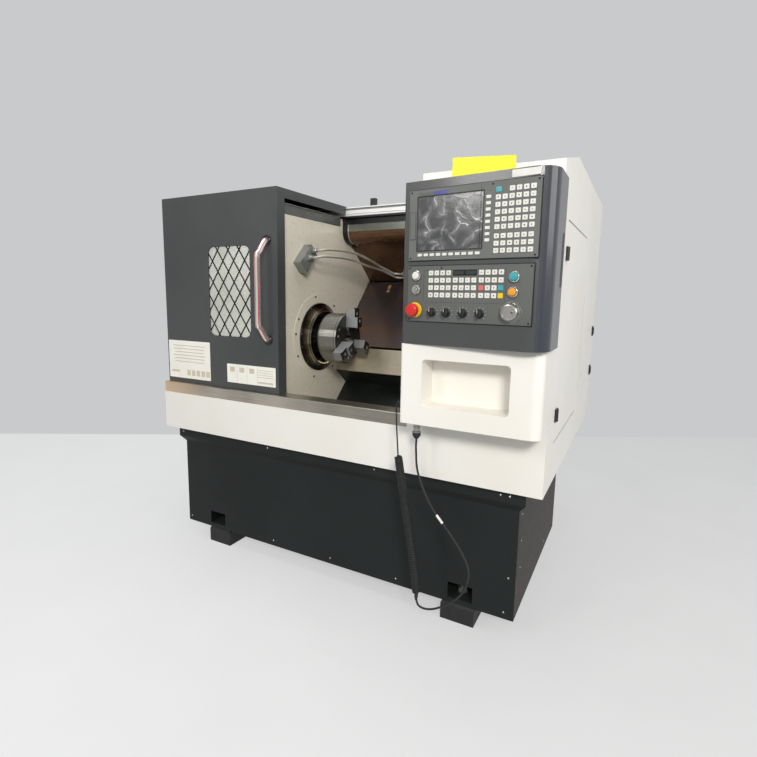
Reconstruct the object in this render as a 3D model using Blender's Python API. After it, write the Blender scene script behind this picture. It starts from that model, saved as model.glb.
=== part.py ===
"""Slant-bed CNC turning lathe with a sliding door, a fixed operator pendant and an open work area.

Lengths are metres. x runs to the right along the spindle, y to the back, z up. While it is modelled, x = 0 is the
left end of the chip tray, y = 0 its front face and z = 0 the floor. The last step moves the whole machine so that
the origin is the centre of its footprint on the floor.
"""

import math

import bmesh
import bpy
from mathutils import Matrix, Vector

# Gaps between pieces
SEAT = 0.0003
RUNNING = 0.0008

# Heights that stack up from the floor
FOOT_HEIGHT = 0.072
BASE_HEIGHT = 0.470
BAND_HEIGHT = 0.168
SILL_HEIGHT = 0.047
HEADROOM = 0.340
ROOF_RISE = 0.865
BASE_TOP = FOOT_HEIGHT + BASE_HEIGHT
BAND_TOP = BASE_TOP + BAND_HEIGHT
SILL = BAND_TOP + SILL_HEIGHT
ROOF = SILL + ROOF_RISE

# Footprint of the enclosure
LENGTH = 1.700
DEPTH = 1.342
SHEET = 0.003
TRAY_WALL = 0.004

# Base cabinet
BASE_LEFT = 0.074
BASE_RIGHT = LENGTH - 0.075
BASE_FRONT = 0.050
BASE_REAR = 0.880
BASE_WALL = 0.006
BASE_DECK = 0.012
FLANGE_OUT = 0.021
FLANGE_HEIGHT = 0.046
FLARE_HEIGHT = 0.028
FOOT_SIZE = 0.124
FOOT_INSET_X = 0.198
FOOT_INSET_Y = 0.062
FOOT_STUD_R = 0.010
FOOT_LUG = 0.018
WINDOW_WIDTH = 0.090
WINDOW_HEIGHT = 0.058

# Work area
WALL_X = 0.620
WALL_FRONT = 0.080
WORK_RIGHT = LENGTH - 0.010
SILL_DEPTH = 0.072
SILL_SHEET = 0.002

# Slanted way-cover plane: s runs up the slope from its lower edge, n stands out of it
SLANT = math.radians(45.0)
SLANT_Y = 0.535
SLANT_Z = SILL + 0.161
SLANT_LENGTH = 0.451
DOOR_TOP = SLANT_Z + SLANT_LENGTH * math.sin(SLANT) + HEADROOM
COVER = 0.002
COVER_OVERLAP = 0.010

# Spindle
SPINDLE_Y = 0.370
SPINDLE_Z = SILL + 0.212
SPINDLE_R = 0.045
FLANGE_R = 0.155
FLANGE_BORE = 0.092
CHUCK_R = 0.112
CHUCK_START = 0.676
CHUCK_LENGTH = 0.099
CHUCK_BORE = 0.026
JAW_COUNT = 3
JAW_WIDTH = 0.040
JAW_THICKNESS = 0.058
JAW_INNER = 0.052
JAW_OUTER = 0.138
SLOT_WIDTH = 0.022
SLOT_DEPTH = 0.018

# Sliding door
DOOR_WIDTH = 0.650
DOOR_FRONT = 0.029
DOOR_REAR = 0.560
DOOR_RETURN = 0.050
DOOR_FLANGE = 0.037
VIEW_LEFT = 0.275
VIEW_WIDTH = 0.232
VIEW_BOTTOM = 0.225
VIEW_HEIGHT = 0.378
VIEW_CORNER = 0.030
HANDLE_X = 0.600
HANDLE_BOTTOM = 0.221
HANDLE_TOP = 0.618
HANDLE_REACH = 0.060
HANDLE_BEND = 0.070
HANDLE_R = 0.0125
FLANGE_DISC_R = 0.020

# Right enclosure, console and pendant
CONSOLE_WIDTH = 0.438
CONSOLE_LEFT = LENGTH - CONSOLE_WIDTH
CONSOLE_FRONT = -0.122
CONSOLE_HEIGHT = 0.258
CONSOLE_CORNER = 0.030
RECESS_WIDTH = 0.273
RECESS_HEIGHT = 0.150
RECESS_LEFT = 0.074
RECESS_BOTTOM = 0.061
RECESS_DEPTH = 0.090
RIGHT_FRONT = 0.022
RIGHT_FRONT_HEIGHT = 0.801
ROOF_BREAK = 0.295
PANEL_YAW = math.radians(-6.0)
PENDANT_HEIGHT = 0.486
PENDANT_SIDE = LENGTH + 0.010
PENDANT_CORNER = 0.058
PENDANT_EDGE = 0.004
VENT_SLOT = ((-0.014, -0.008), (0.436, 0.588))

# Header and covers at the back of the work area
HEADER_DEPTH = 0.048
HEADER_HEIGHT = 0.049
HEADER_FRONT = 0.552
REAR_COVER_Y = 0.570

# Bed, rails and slides
BED_DROP = 0.105
RAIL_LOW = 0.070
RAIL_HIGH = 0.370
RAIL_WIDTH = 0.034
RAIL_HEIGHT = 0.030
SADDLE_LEFT = CONSOLE_LEFT - 0.062
SADDLE_LENGTH = 0.300
SADDLE_TOP = 0.030
SCREW_S = 0.220
SCREW_N = -0.083
SCREW_R = 0.016
TURRET_S = 0.220
DISC_THICKNESS = 0.090
DISC_R = 0.088
STATION_COUNT = 8

# Belt drive
PULLEY_X = 0.120
PULLEY_WIDTH = 0.060
SPINDLE_PULLEY_R = 0.090
MOTOR_PULLEY_R = 0.060
MOTOR_Y = 0.740
MOTOR_Z = 1.290
MOTOR_R = 0.095
BELT_THICKNESS = 0.008

# Side door and rear door
SIDE_DOOR_FRONT = 0.150
SIDE_DOOR_LENGTH = 0.550
SIDE_DOOR_BOTTOM = -0.070
SIDE_DOOR_HEIGHT = 0.715
REAR_DOOR_LEFT = CONSOLE_LEFT - 0.662
REAR_DOOR_WIDTH = 0.700
REAR_DOOR_BOTTOM = 0.850
REAR_DOOR_HEIGHT = 0.650
DOOR_GAP = 0.0015

# Hanging lead
LEAD_R = 0.0035
CURLY_R = 0.014
TAIL_R = 0.003


def slanted(s, n):
    """Point (y, z) that lies s up the slope and n out of the way-cover plane."""
    y = SLANT_Y + s * math.cos(SLANT) - n * math.sin(SLANT)
    z = SLANT_Z + s * math.sin(SLANT) + n * math.cos(SLANT)
    return (y, z)


SPINDLE_N = (SLANT_Y - SPINDLE_Y) * math.sin(SLANT) + (SPINDLE_Z - SLANT_Z) * math.cos(SLANT)


def paint(name, colour, roughness, metallic=0.0):
    """A Principled BSDF material."""
    material = bpy.data.materials.new(name)
    material.use_nodes = True
    shader = material.node_tree.nodes["Principled BSDF"]
    shader.inputs["Base Color"].default_value = (*colour, 1.0)
    shader.inputs["Roughness"].default_value = roughness
    shader.inputs["Metallic"].default_value = metallic
    return material


def finished(name, bm, material):
    """Turn a bmesh into a named object with outward faces."""
    bmesh.ops.recalc_face_normals(bm, faces=bm.faces)
    mesh = bpy.data.meshes.new(name)
    bm.to_mesh(mesh)
    bm.free()
    mesh.materials.append(material)
    obj = bpy.data.objects.new(name, mesh)
    bpy.context.collection.objects.link(obj)
    return obj


def prism(name, outline, axis, start, end, material):
    """Extrude a closed outline: (y, z) along X, (x, z) along Y or (x, y) along Z."""
    place = {
        "X": lambda a, b, t: (t, a, b),
        "Y": lambda a, b, t: (a, t, b),
        "Z": lambda a, b, t: (a, b, t),
    }[axis]
    bm = bmesh.new()
    near = [bm.verts.new(place(a, b, start)) for a, b in outline]
    far = [bm.verts.new(place(a, b, end)) for a, b in outline]
    count = len(outline)
    bm.faces.new(near)
    bm.faces.new(list(reversed(far)))
    for i in range(count):
        j = (i + 1) % count
        bm.faces.new((near[i], far[i], far[j], near[j]))
    return finished(name, bm, material)


def box(name, x, y, z, material):
    """A block between two corners, each axis given as (low, high)."""
    outline = [(x[0], y[0]), (x[1], y[0]), (x[1], y[1]), (x[0], y[1])]
    return prism(name, outline, "Z", z[0], z[1], material)


def loft(name, rings, material):
    """Join rectangles ((x0, x1), (y0, y1), z) from bottom to top into one closed block."""
    bm = bmesh.new()
    loops = []
    for x, y, z in rings:
        corners = [(x[0], y[0]), (x[1], y[0]), (x[1], y[1]), (x[0], y[1])]
        loops.append([bm.verts.new((a, b, z)) for a, b in corners])
    bm.faces.new(loops[0])
    bm.faces.new(loops[-1])
    for low, high in zip(loops, loops[1:]):
        for i in range(4):
            j = (i + 1) % 4
            bm.faces.new((low[i], low[j], high[j], high[i]))
    return finished(name, bm, material)


def turned(name, profile, centre, direction, material, segments=32):
    """Revolve (height, radius) points about a line through centre. Ends at radius 0 become poles."""
    turn = Vector((0, 0, 1)).rotation_difference(Vector(direction)).to_matrix().to_4x4()
    frame = Matrix.Translation(Vector(centre)) @ turn
    bm = bmesh.new()
    rings = []
    for height, radius in profile:
        if radius == 0.0:
            rings.append([bm.verts.new((0.0, 0.0, height))])
            continue
        angles = [2.0 * math.pi * i / segments for i in range(segments)]
        rings.append([bm.verts.new((radius * math.cos(a), radius * math.sin(a), height)) for a in angles])
    closed = profile[0][1] != 0.0 and profile[-1][1] != 0.0
    pairs = list(zip(rings, rings[1:]))
    if closed:
        pairs.append((rings[-1], rings[0]))
    for low, high in pairs:
        for i in range(segments):
            j = (i + 1) % segments
            ring = [low[i % len(low)], low[j % len(low)], high[j % len(high)], high[i % len(high)]]
            corners = list(dict.fromkeys(ring))
            bm.faces.new(corners)
    bmesh.ops.transform(bm, matrix=frame, verts=bm.verts)
    obj = finished(name, bm, material)
    obj.data.shade_smooth()
    obj.data.set_sharp_from_angle(angle=math.radians(30.0))
    return obj


def combine(target, tools, operation):
    """Apply Boolean tools to a target and delete them."""
    for tool in tools:
        modifier = target.modifiers.new(operation.lower(), "BOOLEAN")
        modifier.operation = operation
        modifier.solver = "EXACT"
        modifier.object = tool
    depsgraph = bpy.context.evaluated_depsgraph_get()
    depsgraph.update()
    mesh = bpy.data.meshes.new_from_object(target.evaluated_get(depsgraph))
    target.modifiers.clear()
    target.data = mesh
    for tool in tools:
        bpy.data.objects.remove(tool)
    return target


def cut(target, *tools):
    return combine(target, tools, "DIFFERENCE")


def join(target, *tools):
    return combine(target, tools, "UNION")


def round_rectangle(x, z, radius, steps=4):
    """Outline of a rectangle with round corners, each side given as (low, high)."""
    corners = [
        (x[1] - radius, z[1] - radius, 0.0),
        (x[0] + radius, z[1] - radius, 0.5 * math.pi),
        (x[0] + radius, z[0] + radius, math.pi),
        (x[1] - radius, z[0] + radius, 1.5 * math.pi),
    ]
    points = []
    for cx, cz, start in corners:
        for i in range(steps + 1):
            angle = start + 0.5 * math.pi * i / steps
            points.append((cx + radius * math.cos(angle), cz + radius * math.sin(angle)))
    return points


def arc(centre, radius, start, end, steps):
    """Points on an arc, angles in degrees."""
    angles = [math.radians(start + (end - start) * i / steps) for i in range(steps + 1)]
    return [(centre[0] + radius * math.cos(a), centre[1] + radius * math.sin(a)) for a in angles]


def folded(points, thickness):
    """Closed outline of a sheet of even thickness whose left side, along its direction, follows the points."""
    inner = []
    for i, point in enumerate(points):
        here = Vector(point)
        before = (here - Vector(points[i - 1])).normalized() if i > 0 else None
        after = (Vector(points[i + 1]) - here).normalized() if i < len(points) - 1 else None
        if before is None:
            before = after
        if after is None:
            after = before
        normal = Vector((before.y + after.y, -before.x - after.x)).normalized()
        stretch = thickness / max(0.2, normal.dot(Vector((before.y, -before.x))))
        inner.append(tuple(here + normal * stretch))
    return list(points) + list(reversed(inner))


def smooth_route(points, spacing):
    """Even points along a Catmull-Rom curve through the given ones."""
    route = [Vector(p) for p in points]
    ends = [2 * route[0] - route[1], *route, 2 * route[-1] - route[-2]]
    dense = []
    for a, b, c, d in zip(ends, ends[1:], ends[2:], ends[3:]):
        for i in range(24):
            t = i / 24.0
            value = 2 * b + (c - a) * t + (2 * a - 5 * b + 4 * c - d) * t ** 2 + (3 * b - a - 3 * c + d) * t ** 3
            dense.append(value * 0.5)
    dense.append(route[-1])
    lengths = [0.0]
    for a, b in zip(dense, dense[1:]):
        lengths.append(lengths[-1] + (b - a).length)
    count = max(2, round(lengths[-1] / spacing))
    result = []
    for k in range(count + 1):
        wanted = lengths[-1] * k / count
        i = min(len(dense) - 2, max(j for j, done in enumerate(lengths) if done <= wanted + 1e-9))
        span = lengths[i + 1] - lengths[i]
        share = (wanted - lengths[i]) / span if span > 0 else 0.0
        result.append(dense[i].lerp(dense[i + 1], min(1.0, share)))
    return result


def tube(name, points, radius, spacing, resolution, material):
    """A round bar along a smooth curve, with flat filled ends."""
    return bar_along(name, smooth_route(points, spacing), radius, resolution, material)


def bar_along(name, route, radius, resolution, material, shares=None):
    """A round bar through the points given. Shares scale its radius point by point."""
    curve = bpy.data.curves.new(name, "CURVE")
    curve.dimensions = "3D"
    spline = curve.splines.new("POLY")
    spline.points.add(len(route) - 1)
    for index, (target, point) in enumerate(zip(spline.points, route)):
        target.co = (*point, 1.0)
        target.radius = shares[index] if shares else 1.0
    curve.bevel_depth = radius
    curve.bevel_resolution = resolution
    curve.use_fill_caps = True
    curve.materials.append(material)
    obj = bpy.data.objects.new(name, curve)
    bpy.context.collection.objects.link(obj)
    return obj


def put_origin(obj, point):
    """Place an object's origin at a point without moving its shape."""
    obj.data.transform(Matrix.Translation(-Vector(point)))
    obj.location = point
    return obj


def foot_places():
    xs = (BASE_LEFT + FOOT_INSET_X, BASE_RIGHT - FOOT_INSET_X)
    ys = (BASE_FRONT + FOOT_INSET_Y, BASE_REAR - FOOT_INSET_Y)
    return [(x, y) for y in ys for x in xs]


def build_base(paints):
    x = (BASE_LEFT, BASE_RIGHT)
    y = (BASE_FRONT, BASE_REAR)
    wide_x = (BASE_LEFT - FLANGE_OUT, BASE_RIGHT + FLANGE_OUT)
    wide_y = (BASE_FRONT - FLANGE_OUT, BASE_REAR + FLANGE_OUT)
    flange_bottom = BASE_TOP - FLANGE_HEIGHT
    base = loft(
        "base_cabinet",
        [
            (x, y, FOOT_HEIGHT),
            (x, y, flange_bottom - FLARE_HEIGHT),
            (wide_x, wide_y, flange_bottom),
            (wide_x, wide_y, BASE_TOP),
        ],
        paints["base"],
    )
    inner_x = (BASE_LEFT + BASE_WALL, BASE_RIGHT - BASE_WALL)
    inner_y = (BASE_FRONT + BASE_WALL, BASE_REAR - BASE_WALL)
    hollow = box("hollow", inner_x, inner_y, (0.0, BASE_TOP - BASE_DECK), paints["base"])
    windows = []
    window_bottom = FOOT_HEIGHT + FOOT_LUG + SEAT
    for side, foot_x in ((-1, BASE_LEFT + FOOT_INSET_X), (1, BASE_RIGHT - FOOT_INSET_X)):
        centre = foot_x + side * 0.008
        windows.append(
            box(
                "window",
                (centre - WINDOW_WIDTH / 2, centre + WINDOW_WIDTH / 2),
                (BASE_FRONT - 0.01, BASE_FRONT + 2 * BASE_WALL),
                (window_bottom, window_bottom + WINDOW_HEIGHT),
                paints["base"],
            )
        )
    cut(base, hollow, *windows)
    lugs = []
    holes = []
    for foot_x, foot_y in foot_places():
        near = BASE_FRONT + BASE_WALL / 2 if foot_y < (BASE_FRONT + BASE_REAR) / 2 else foot_y - FOOT_SIZE / 2
        far = near + FOOT_SIZE if near > BASE_FRONT + BASE_WALL else foot_y + FOOT_SIZE / 2
        far = min(far, BASE_REAR - BASE_WALL / 2)
        lug_x = (foot_x - FOOT_SIZE / 2, foot_x + FOOT_SIZE / 2)
        lugs.append(box("lug", lug_x, (near, far), (FOOT_HEIGHT, FOOT_HEIGHT + FOOT_LUG), paints["base"]))
        profile = [(-0.01, 0.0), (-0.01, FOOT_STUD_R + 0.001), (0.05, FOOT_STUD_R + 0.001), (0.05, 0.0)]
        holes.append(turned("hole", profile, (foot_x, foot_y, FOOT_HEIGHT), (0, 0, 1), paints["base"], 16))
    lift = box(
        "lift",
        (BASE_RIGHT - 0.065, BASE_RIGHT - 0.009),
        (BASE_REAR - BASE_WALL / 2, BASE_REAR + 0.046),
        (FOOT_HEIGHT, FOOT_HEIGHT + 0.058),
        paints["base"],
    )
    join(base, *lugs, lift)
    cut(base, *holes)
    return base


def build_feet(paints):
    for index, (foot_x, foot_y) in enumerate(foot_places(), start=1):
        half = FOOT_SIZE / 2
        pad = loft(
            f"machine_foot_{index}",
            [
                ((foot_x - half, foot_x + half), (foot_y - half, foot_y + half), 0.0),
                ((foot_x - half, foot_x + half), (foot_y - half, foot_y + half), FOOT_HEIGHT - 0.012),
                ((foot_x - half + 0.006, foot_x + half - 0.006),
                 (foot_y - half + 0.006, foot_y + half - 0.006), FOOT_HEIGHT - SEAT),
            ],
            paints["cast"],
        )
        stud_top = FOOT_HEIGHT + FOOT_LUG + 0.042
        stud_profile = [(-0.03, 0.0), (-0.03, FOOT_STUD_R), (stud_top - FOOT_HEIGHT, FOOT_STUD_R),
                        (stud_top - FOOT_HEIGHT, 0.0)]
        stud = turned("stud", stud_profile, (foot_x, foot_y, FOOT_HEIGHT), (0, 0, 1), paints["cast"], 12)
        nut_bottom = FOOT_LUG + SEAT
        nut_profile = [(nut_bottom, 0.0), (nut_bottom, 0.018), (nut_bottom + 0.016, 0.018),
                       (nut_bottom + 0.016, 0.0)]
        nut = turned("nut", nut_profile, (foot_x, foot_y, FOOT_HEIGHT), (0, 0, 1), paints["cast"], 6)
        join(pad, stud, nut)


def build_tray(paints):
    floor = BASE_TOP + SEAT
    tray = box("chip_tray", (0.0, LENGTH), (0.0, DEPTH), (floor, SILL - SEAT), paints["white"])
    inside = box(
        "inside",
        (TRAY_WALL, LENGTH - TRAY_WALL),
        (TRAY_WALL, DEPTH - TRAY_WALL),
        (floor + TRAY_WALL, SILL + 0.05),
        paints["white"],
    )
    rim = box(
        "rim",
        (-0.01, CONSOLE_LEFT - 0.027),
        (-0.01, SILL_DEPTH + 0.004),
        (BAND_TOP, SILL + 0.05),
        paints["white"],
    )
    bed_hole = box(
        "bed_hole",
        (BED_LEFT - 0.004, BED_RIGHT + 0.004),
        (BED_FRONT - 0.004, BED_REAR + 0.004),
        (floor - 0.01, floor + 0.05),
        paints["white"],
    )
    doorway = box(
        "doorway",
        (LENGTH - 2 * TRAY_WALL, LENGTH + 0.02),
        (SIDE_DOOR_FRONT, SIDE_DOOR_FRONT + SIDE_DOOR_LENGTH),
        (SIDE_DOOR_LOW, SILL + 0.05),
        paints["white"],
    )
    cut(tray, inside, rim, bed_hole, doorway)
    ledge = box(
        "ledge",
        (TRAY_WALL / 2, CONSOLE_LEFT - 0.027),
        (TRAY_WALL / 2, 0.045),
        (BAND_TOP - TRAY_WALL, BAND_TOP),
        paints["white"],
    )
    return join(tray, ledge)


def build_sill(paints):
    bottom = BAND_TOP + SEAT
    outline = [
        (0.0, bottom), (SILL_SHEET, bottom), (SILL_SHEET, SILL - SILL_SHEET),
        (SILL_DEPTH - SILL_SHEET, SILL - SILL_SHEET), (SILL_DEPTH - SILL_SHEET, SILL - 0.022),
        (SILL_DEPTH, SILL - 0.022), (SILL_DEPTH, SILL), (0.004, SILL), (0.001, SILL - 0.001), (0.0, SILL - 0.004),
    ]
    return prism("sill_strip", outline, "X", TRAY_WALL + SEAT, CONSOLE_LEFT - 0.027 - SEAT, paints["steel"])


BED_LEFT = 0.160
BED_RIGHT = LENGTH - 0.040
BED_FRONT = 0.580
BED_REAR = 0.875
BED_S0 = -0.020
BED_S1 = 0.460


def build_left_enclosure(paints):
    """White cover over the headstock, with the roof and the rear wall as far as the console."""
    low = SILL + SEAT
    left = 0.002
    right = WALL_X - TRAY_WALL - SEAT
    shell = box("left_enclosure", (left, CONSOLE_LEFT - SEAT), (WALL_FRONT, DEPTH), (low, DOOR_TOP - 0.004),
                paints["white"])
    inside = box(
        "inside",
        (left + SHEET, CONSOLE_LEFT + 0.05),
        (WALL_FRONT + SHEET, DEPTH - SHEET),
        (low - 0.05, DOOR_TOP - 0.004 - SHEET),
        paints["white"],
    )
    front = box("front", (right, CONSOLE_LEFT + 0.05), (WALL_FRONT - 0.05, HEADER_FRONT + HEADER_DEPTH + SEAT),
                (low - 0.05, DOOR_TOP + 0.05), paints["white"])
    notch = box("notch", (left - 0.05, right + 0.05), (HEADER_FRONT - SEAT, HEADER_FRONT + HEADER_DEPTH + SEAT),
                (HEADER_BOTTOM - SEAT, DOOR_TOP + 0.05), paints["white"])
    over = box("over", (left - 0.05, right + 0.05), (WALL_FRONT - 0.05, HEADER_FRONT + 0.004),
               (DOOR_TOP - 0.045, DOOR_TOP + 0.05), paints["white"])
    doorway = box(
        "doorway",
        (REAR_DOOR_LEFT - DOOR_GAP, REAR_DOOR_LEFT + REAR_DOOR_WIDTH + DOOR_GAP),
        (DEPTH - 0.02, DEPTH + 0.02),
        (REAR_DOOR_BOTTOM - DOOR_GAP, REAR_DOOR_BOTTOM + REAR_DOOR_HEIGHT + DOOR_GAP),
        paints["white"],
    )
    cut(shell, inside, front, notch, over, doorway)
    lid = box("lid", (left, right), (WALL_FRONT, HEADER_FRONT - SEAT),
              (DOOR_TOP - 0.045 - SHEET, DOOR_TOP - 0.045), paints["white"])
    return join(shell, lid)


HEADER_TOP = DOOR_TOP - SHEET - SEAT
HEADER_BOTTOM = HEADER_TOP - HEADER_HEIGHT
ROLL_R = 0.055
ROLL_Z = DOOR_TOP - 0.112


def ceiling_line():
    """Rear cover's inner face (y, z): drop behind the header, rolled edge, slope to the way covers."""
    corner = slanted(SLANT_LENGTH, 0.003)
    roll = arc((REAR_COVER_Y + ROLL_R, ROLL_Z), ROLL_R, 180.0, 270.0, 6)
    return [(REAR_COVER_Y, HEADER_BOTTOM - SEAT), *roll, (REAR_COVER_Y + 0.075, ROLL_Z - 0.046), corner]


def chute_line():
    """Chip chute's front face (y, z) from below the way covers down to the tray."""
    return [
        (0.5325, SLANT_Z - 0.0075), (0.517, SILL + 0.039), (0.606, SILL - 0.032), (0.504, SILL - 0.126),
        (0.430, BASE_TOP + TRAY_WALL + 2 * SEAT + COVER),
    ]


def work_outline():
    """Outline (y, z) of the inner wall: front, top, rear cover, way covers, chute and tray."""
    front = WALL_FRONT + SHEET + SEAT
    below = SILL_DEPTH + 0.010
    floor = BASE_TOP + TRAY_WALL + 2 * SEAT
    return [
        (front, SILL + SEAT), (front, HEADER_BOTTOM - SEAT), *ceiling_line(), slanted(-0.002, -0.006),
        *chute_line()[1:-1], (0.435, floor), (below, floor), (below, SILL + SEAT),
    ]


def build_wall(paints):
    wall = prism("chuck_wall", work_outline(), "X", WALL_X - TRAY_WALL, WALL_X, paints["beige"])
    profile = [(-0.02, 0.0), (-0.02, FLANGE_R - 0.020), (0.02, FLANGE_R - 0.020), (0.02, 0.0)]
    opening = turned("opening", profile, (WALL_X, SPINDLE_Y, SPINDLE_Z), (1, 0, 0), paints["beige"], 40)
    return cut(wall, opening)


def build_flange(paints):
    """Dished ring around the spindle nose, bolted to the wall."""
    profile = [
        (0.0, FLANGE_R), (0.008, FLANGE_R), (0.012, FLANGE_R - 0.006), (0.026, FLANGE_R - 0.022),
        (0.034, FLANGE_R - 0.032), (0.034, FLANGE_R - 0.038), (0.016, FLANGE_R - 0.044),
        (0.012, FLANGE_BORE), (-0.004, FLANGE_BORE), (-0.004, FLANGE_R - 0.022), (0.0, FLANGE_R - 0.022),
    ]
    centre = (WALL_X + SEAT, SPINDLE_Y, SPINDLE_Z)
    return turned("spindle_flange", profile, centre, (1, 0, 0), paints["black"], 40)


def build_header(paints):
    """Extruded door rail across the machine, with two grooves and a bumper on its top."""
    top = HEADER_TOP
    bottom = HEADER_BOTTOM
    front = HEADER_FRONT
    rear = HEADER_FRONT + HEADER_DEPTH
    outline = [
        (front, bottom), (front, bottom + 0.008), (front + 0.004, bottom + 0.011), (front + 0.004, bottom + 0.016),
        (front, bottom + 0.019), (front, bottom + 0.034), (front + 0.005, bottom + 0.037),
        (front + 0.005, bottom + 0.041), (front, bottom + 0.044), (front, top), (rear, top), (rear, bottom),
    ]
    rail = prism("header_rail", outline, "X", 0.002, CONSOLE_LEFT - SEAT, paints["rail"])
    bumper = box("bumper", (WALL_X + 0.150, WALL_X + 0.176), (front + 0.018, front + 0.040), (top - 0.004, top + 0.036), paints["rail"])
    return join(rail, bumper)


def build_rear_cover(paints):
    """Dark reflective ceiling sheet between the header and the way covers."""
    outline = folded(list(reversed(ceiling_line())), COVER)
    cover = prism("rear_cover", outline, "X", WALL_X + SEAT, WORK_RIGHT, paints["dark_steel"])
    corners = [on_ceiling(up, out) for up, out in ((-0.022, -0.001), (0.034, -0.001), (0.034, 0.020), (-0.022, 0.020))]
    block = prism("block", corners, "X", NIPPLE_X + NIPPLE_LENGTH, NIPPLE_X + NIPPLE_LENGTH + 0.040,
                  paints["dark_steel"])
    nipples = []
    for up in NIPPLE_PLACES:
        profile = [(0.0, 0.0), (0.0, 0.0055), (0.010, 0.0055), (0.010, 0.0080), (NIPPLE_LENGTH + 0.002, 0.0080),
                   (NIPPLE_LENGTH + 0.002, 0.0)]
        start = (NIPPLE_X, *on_ceiling(up, NIPPLE_OUT))
        nipples.append(turned("nipple", profile, start, (1, 0, 0), paints["dark_steel"], 12))
    return join(cover, block, *nipples)


NIPPLE_X = WALL_X + 0.205
NIPPLE_LENGTH = 0.020
NIPPLE_OUT = 0.0105
NIPPLE_PLACES = (0.020, -0.008)


def on_ceiling(up, out):
    """Point (y, z) on the sloping part of the rear cover, counted up from its lower edge's hose block."""
    low = Vector(ceiling_line()[-1])
    high = Vector(ceiling_line()[-2])
    along = (high - low).normalized()
    across = Vector((-along.y, along.x))
    if across.x > 0:
        across = -across
    point = low + along * (0.042 + up) + across * out
    return (point.x, point.y)


def build_chute(paints):
    """Sheet below the way covers: an upright face, then the drop that leads chips into the tray."""
    outline = folded(list(reversed(chute_line())), COVER)
    return prism("chip_chute", outline, "X", WALL_X + SEAT, WORK_RIGHT, paints["steel_sheet"])


def right_outline(inset):
    """Side view (y, z) of the right enclosure, moved inwards by the inset."""
    rise = (ROOF - SILL - RIGHT_FRONT_HEIGHT) / (ROOF_BREAK - RIGHT_FRONT)
    length = math.hypot(1.0, rise)
    front = RIGHT_FRONT + inset
    roof = ROOF - inset
    break_y = ROOF_BREAK + inset * (length - 1.0) / rise
    return [
        (front, SILL + SEAT),
        (front, SILL + RIGHT_FRONT_HEIGHT + rise * inset - inset * length),
        (break_y, roof),
        (DEPTH - inset, roof),
        (DEPTH - inset, SILL + SEAT),
    ]


def build_right_enclosure(paints):
    shell = prism("right_enclosure", right_outline(0.0), "X", CONSOLE_LEFT, LENGTH, paints["white"])
    hollow_outline = right_outline(SHEET)
    hollow_outline[0] = (hollow_outline[0][0], SILL - 0.05)
    hollow_outline[-1] = (hollow_outline[-1][0], SILL - 0.05)
    hollow = prism("hollow", hollow_outline, "X", CONSOLE_LEFT + SHEET, LENGTH - SHEET, paints["white"])
    passage = box(
        "passage",
        (CONSOLE_LEFT - 0.05, CONSOLE_LEFT + 2 * SHEET),
        (RIGHT_FRONT + SHEET, DEPTH - SHEET),
        (SILL - 0.05, DOOR_TOP - 0.004 - SHEET),
        paints["white"],
    )
    doorway = box(
        "doorway",
        (LENGTH - 0.02, LENGTH + 0.02),
        (SIDE_DOOR_FRONT, SIDE_DOOR_FRONT + SIDE_DOOR_LENGTH),
        (SIDE_DOOR_LOW, SIDE_DOOR_LOW + SIDE_DOOR_HEIGHT),
        paints["white"],
    )
    rear_doorway = box(
        "rear_doorway",
        (CONSOLE_LEFT - 0.05, REAR_DOOR_LEFT + REAR_DOOR_WIDTH + DOOR_GAP),
        (DEPTH - 0.02, DEPTH + 0.02),
        (REAR_DOOR_BOTTOM - DOOR_GAP, REAR_DOOR_BOTTOM + REAR_DOOR_HEIGHT + DOOR_GAP),
        paints["white"],
    )
    cut(shell, hollow, passage, doorway, rear_doorway)
    halves = [hinge_half(SIDE_HINGE, z, (0, -1), (1, 0), False, paints) for z in SIDE_HINGE_HEIGHTS]
    halves += [hinge_half(REAR_HINGE, z, (1, 0), (0, 1), False, paints) for z in REAR_HINGE_HEIGHTS]
    return join(shell, *halves)


SIDE_DOOR_LOW = SILL + SIDE_DOOR_BOTTOM
HINGE_OUT = 0.0055
PIN_R = 0.0045
LEAF_LENGTH = 0.021
HINGE_HEIGHT = 0.021
SIDE_HINGE = (LENGTH + HINGE_OUT, SIDE_DOOR_FRONT - 0.001)
SIDE_HINGE_HEIGHTS = (SILL + HINGE_HEIGHT + 0.004, SILL + 0.5435)
REAR_HINGE = (REAR_DOOR_LEFT + REAR_DOOR_WIDTH + DOOR_GAP, DEPTH + HINGE_OUT)
REAR_HINGE_HEIGHTS = (REAR_DOOR_BOTTOM + 0.100, REAR_DOOR_BOTTOM + REAR_DOOR_HEIGHT - 0.100)


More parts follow.
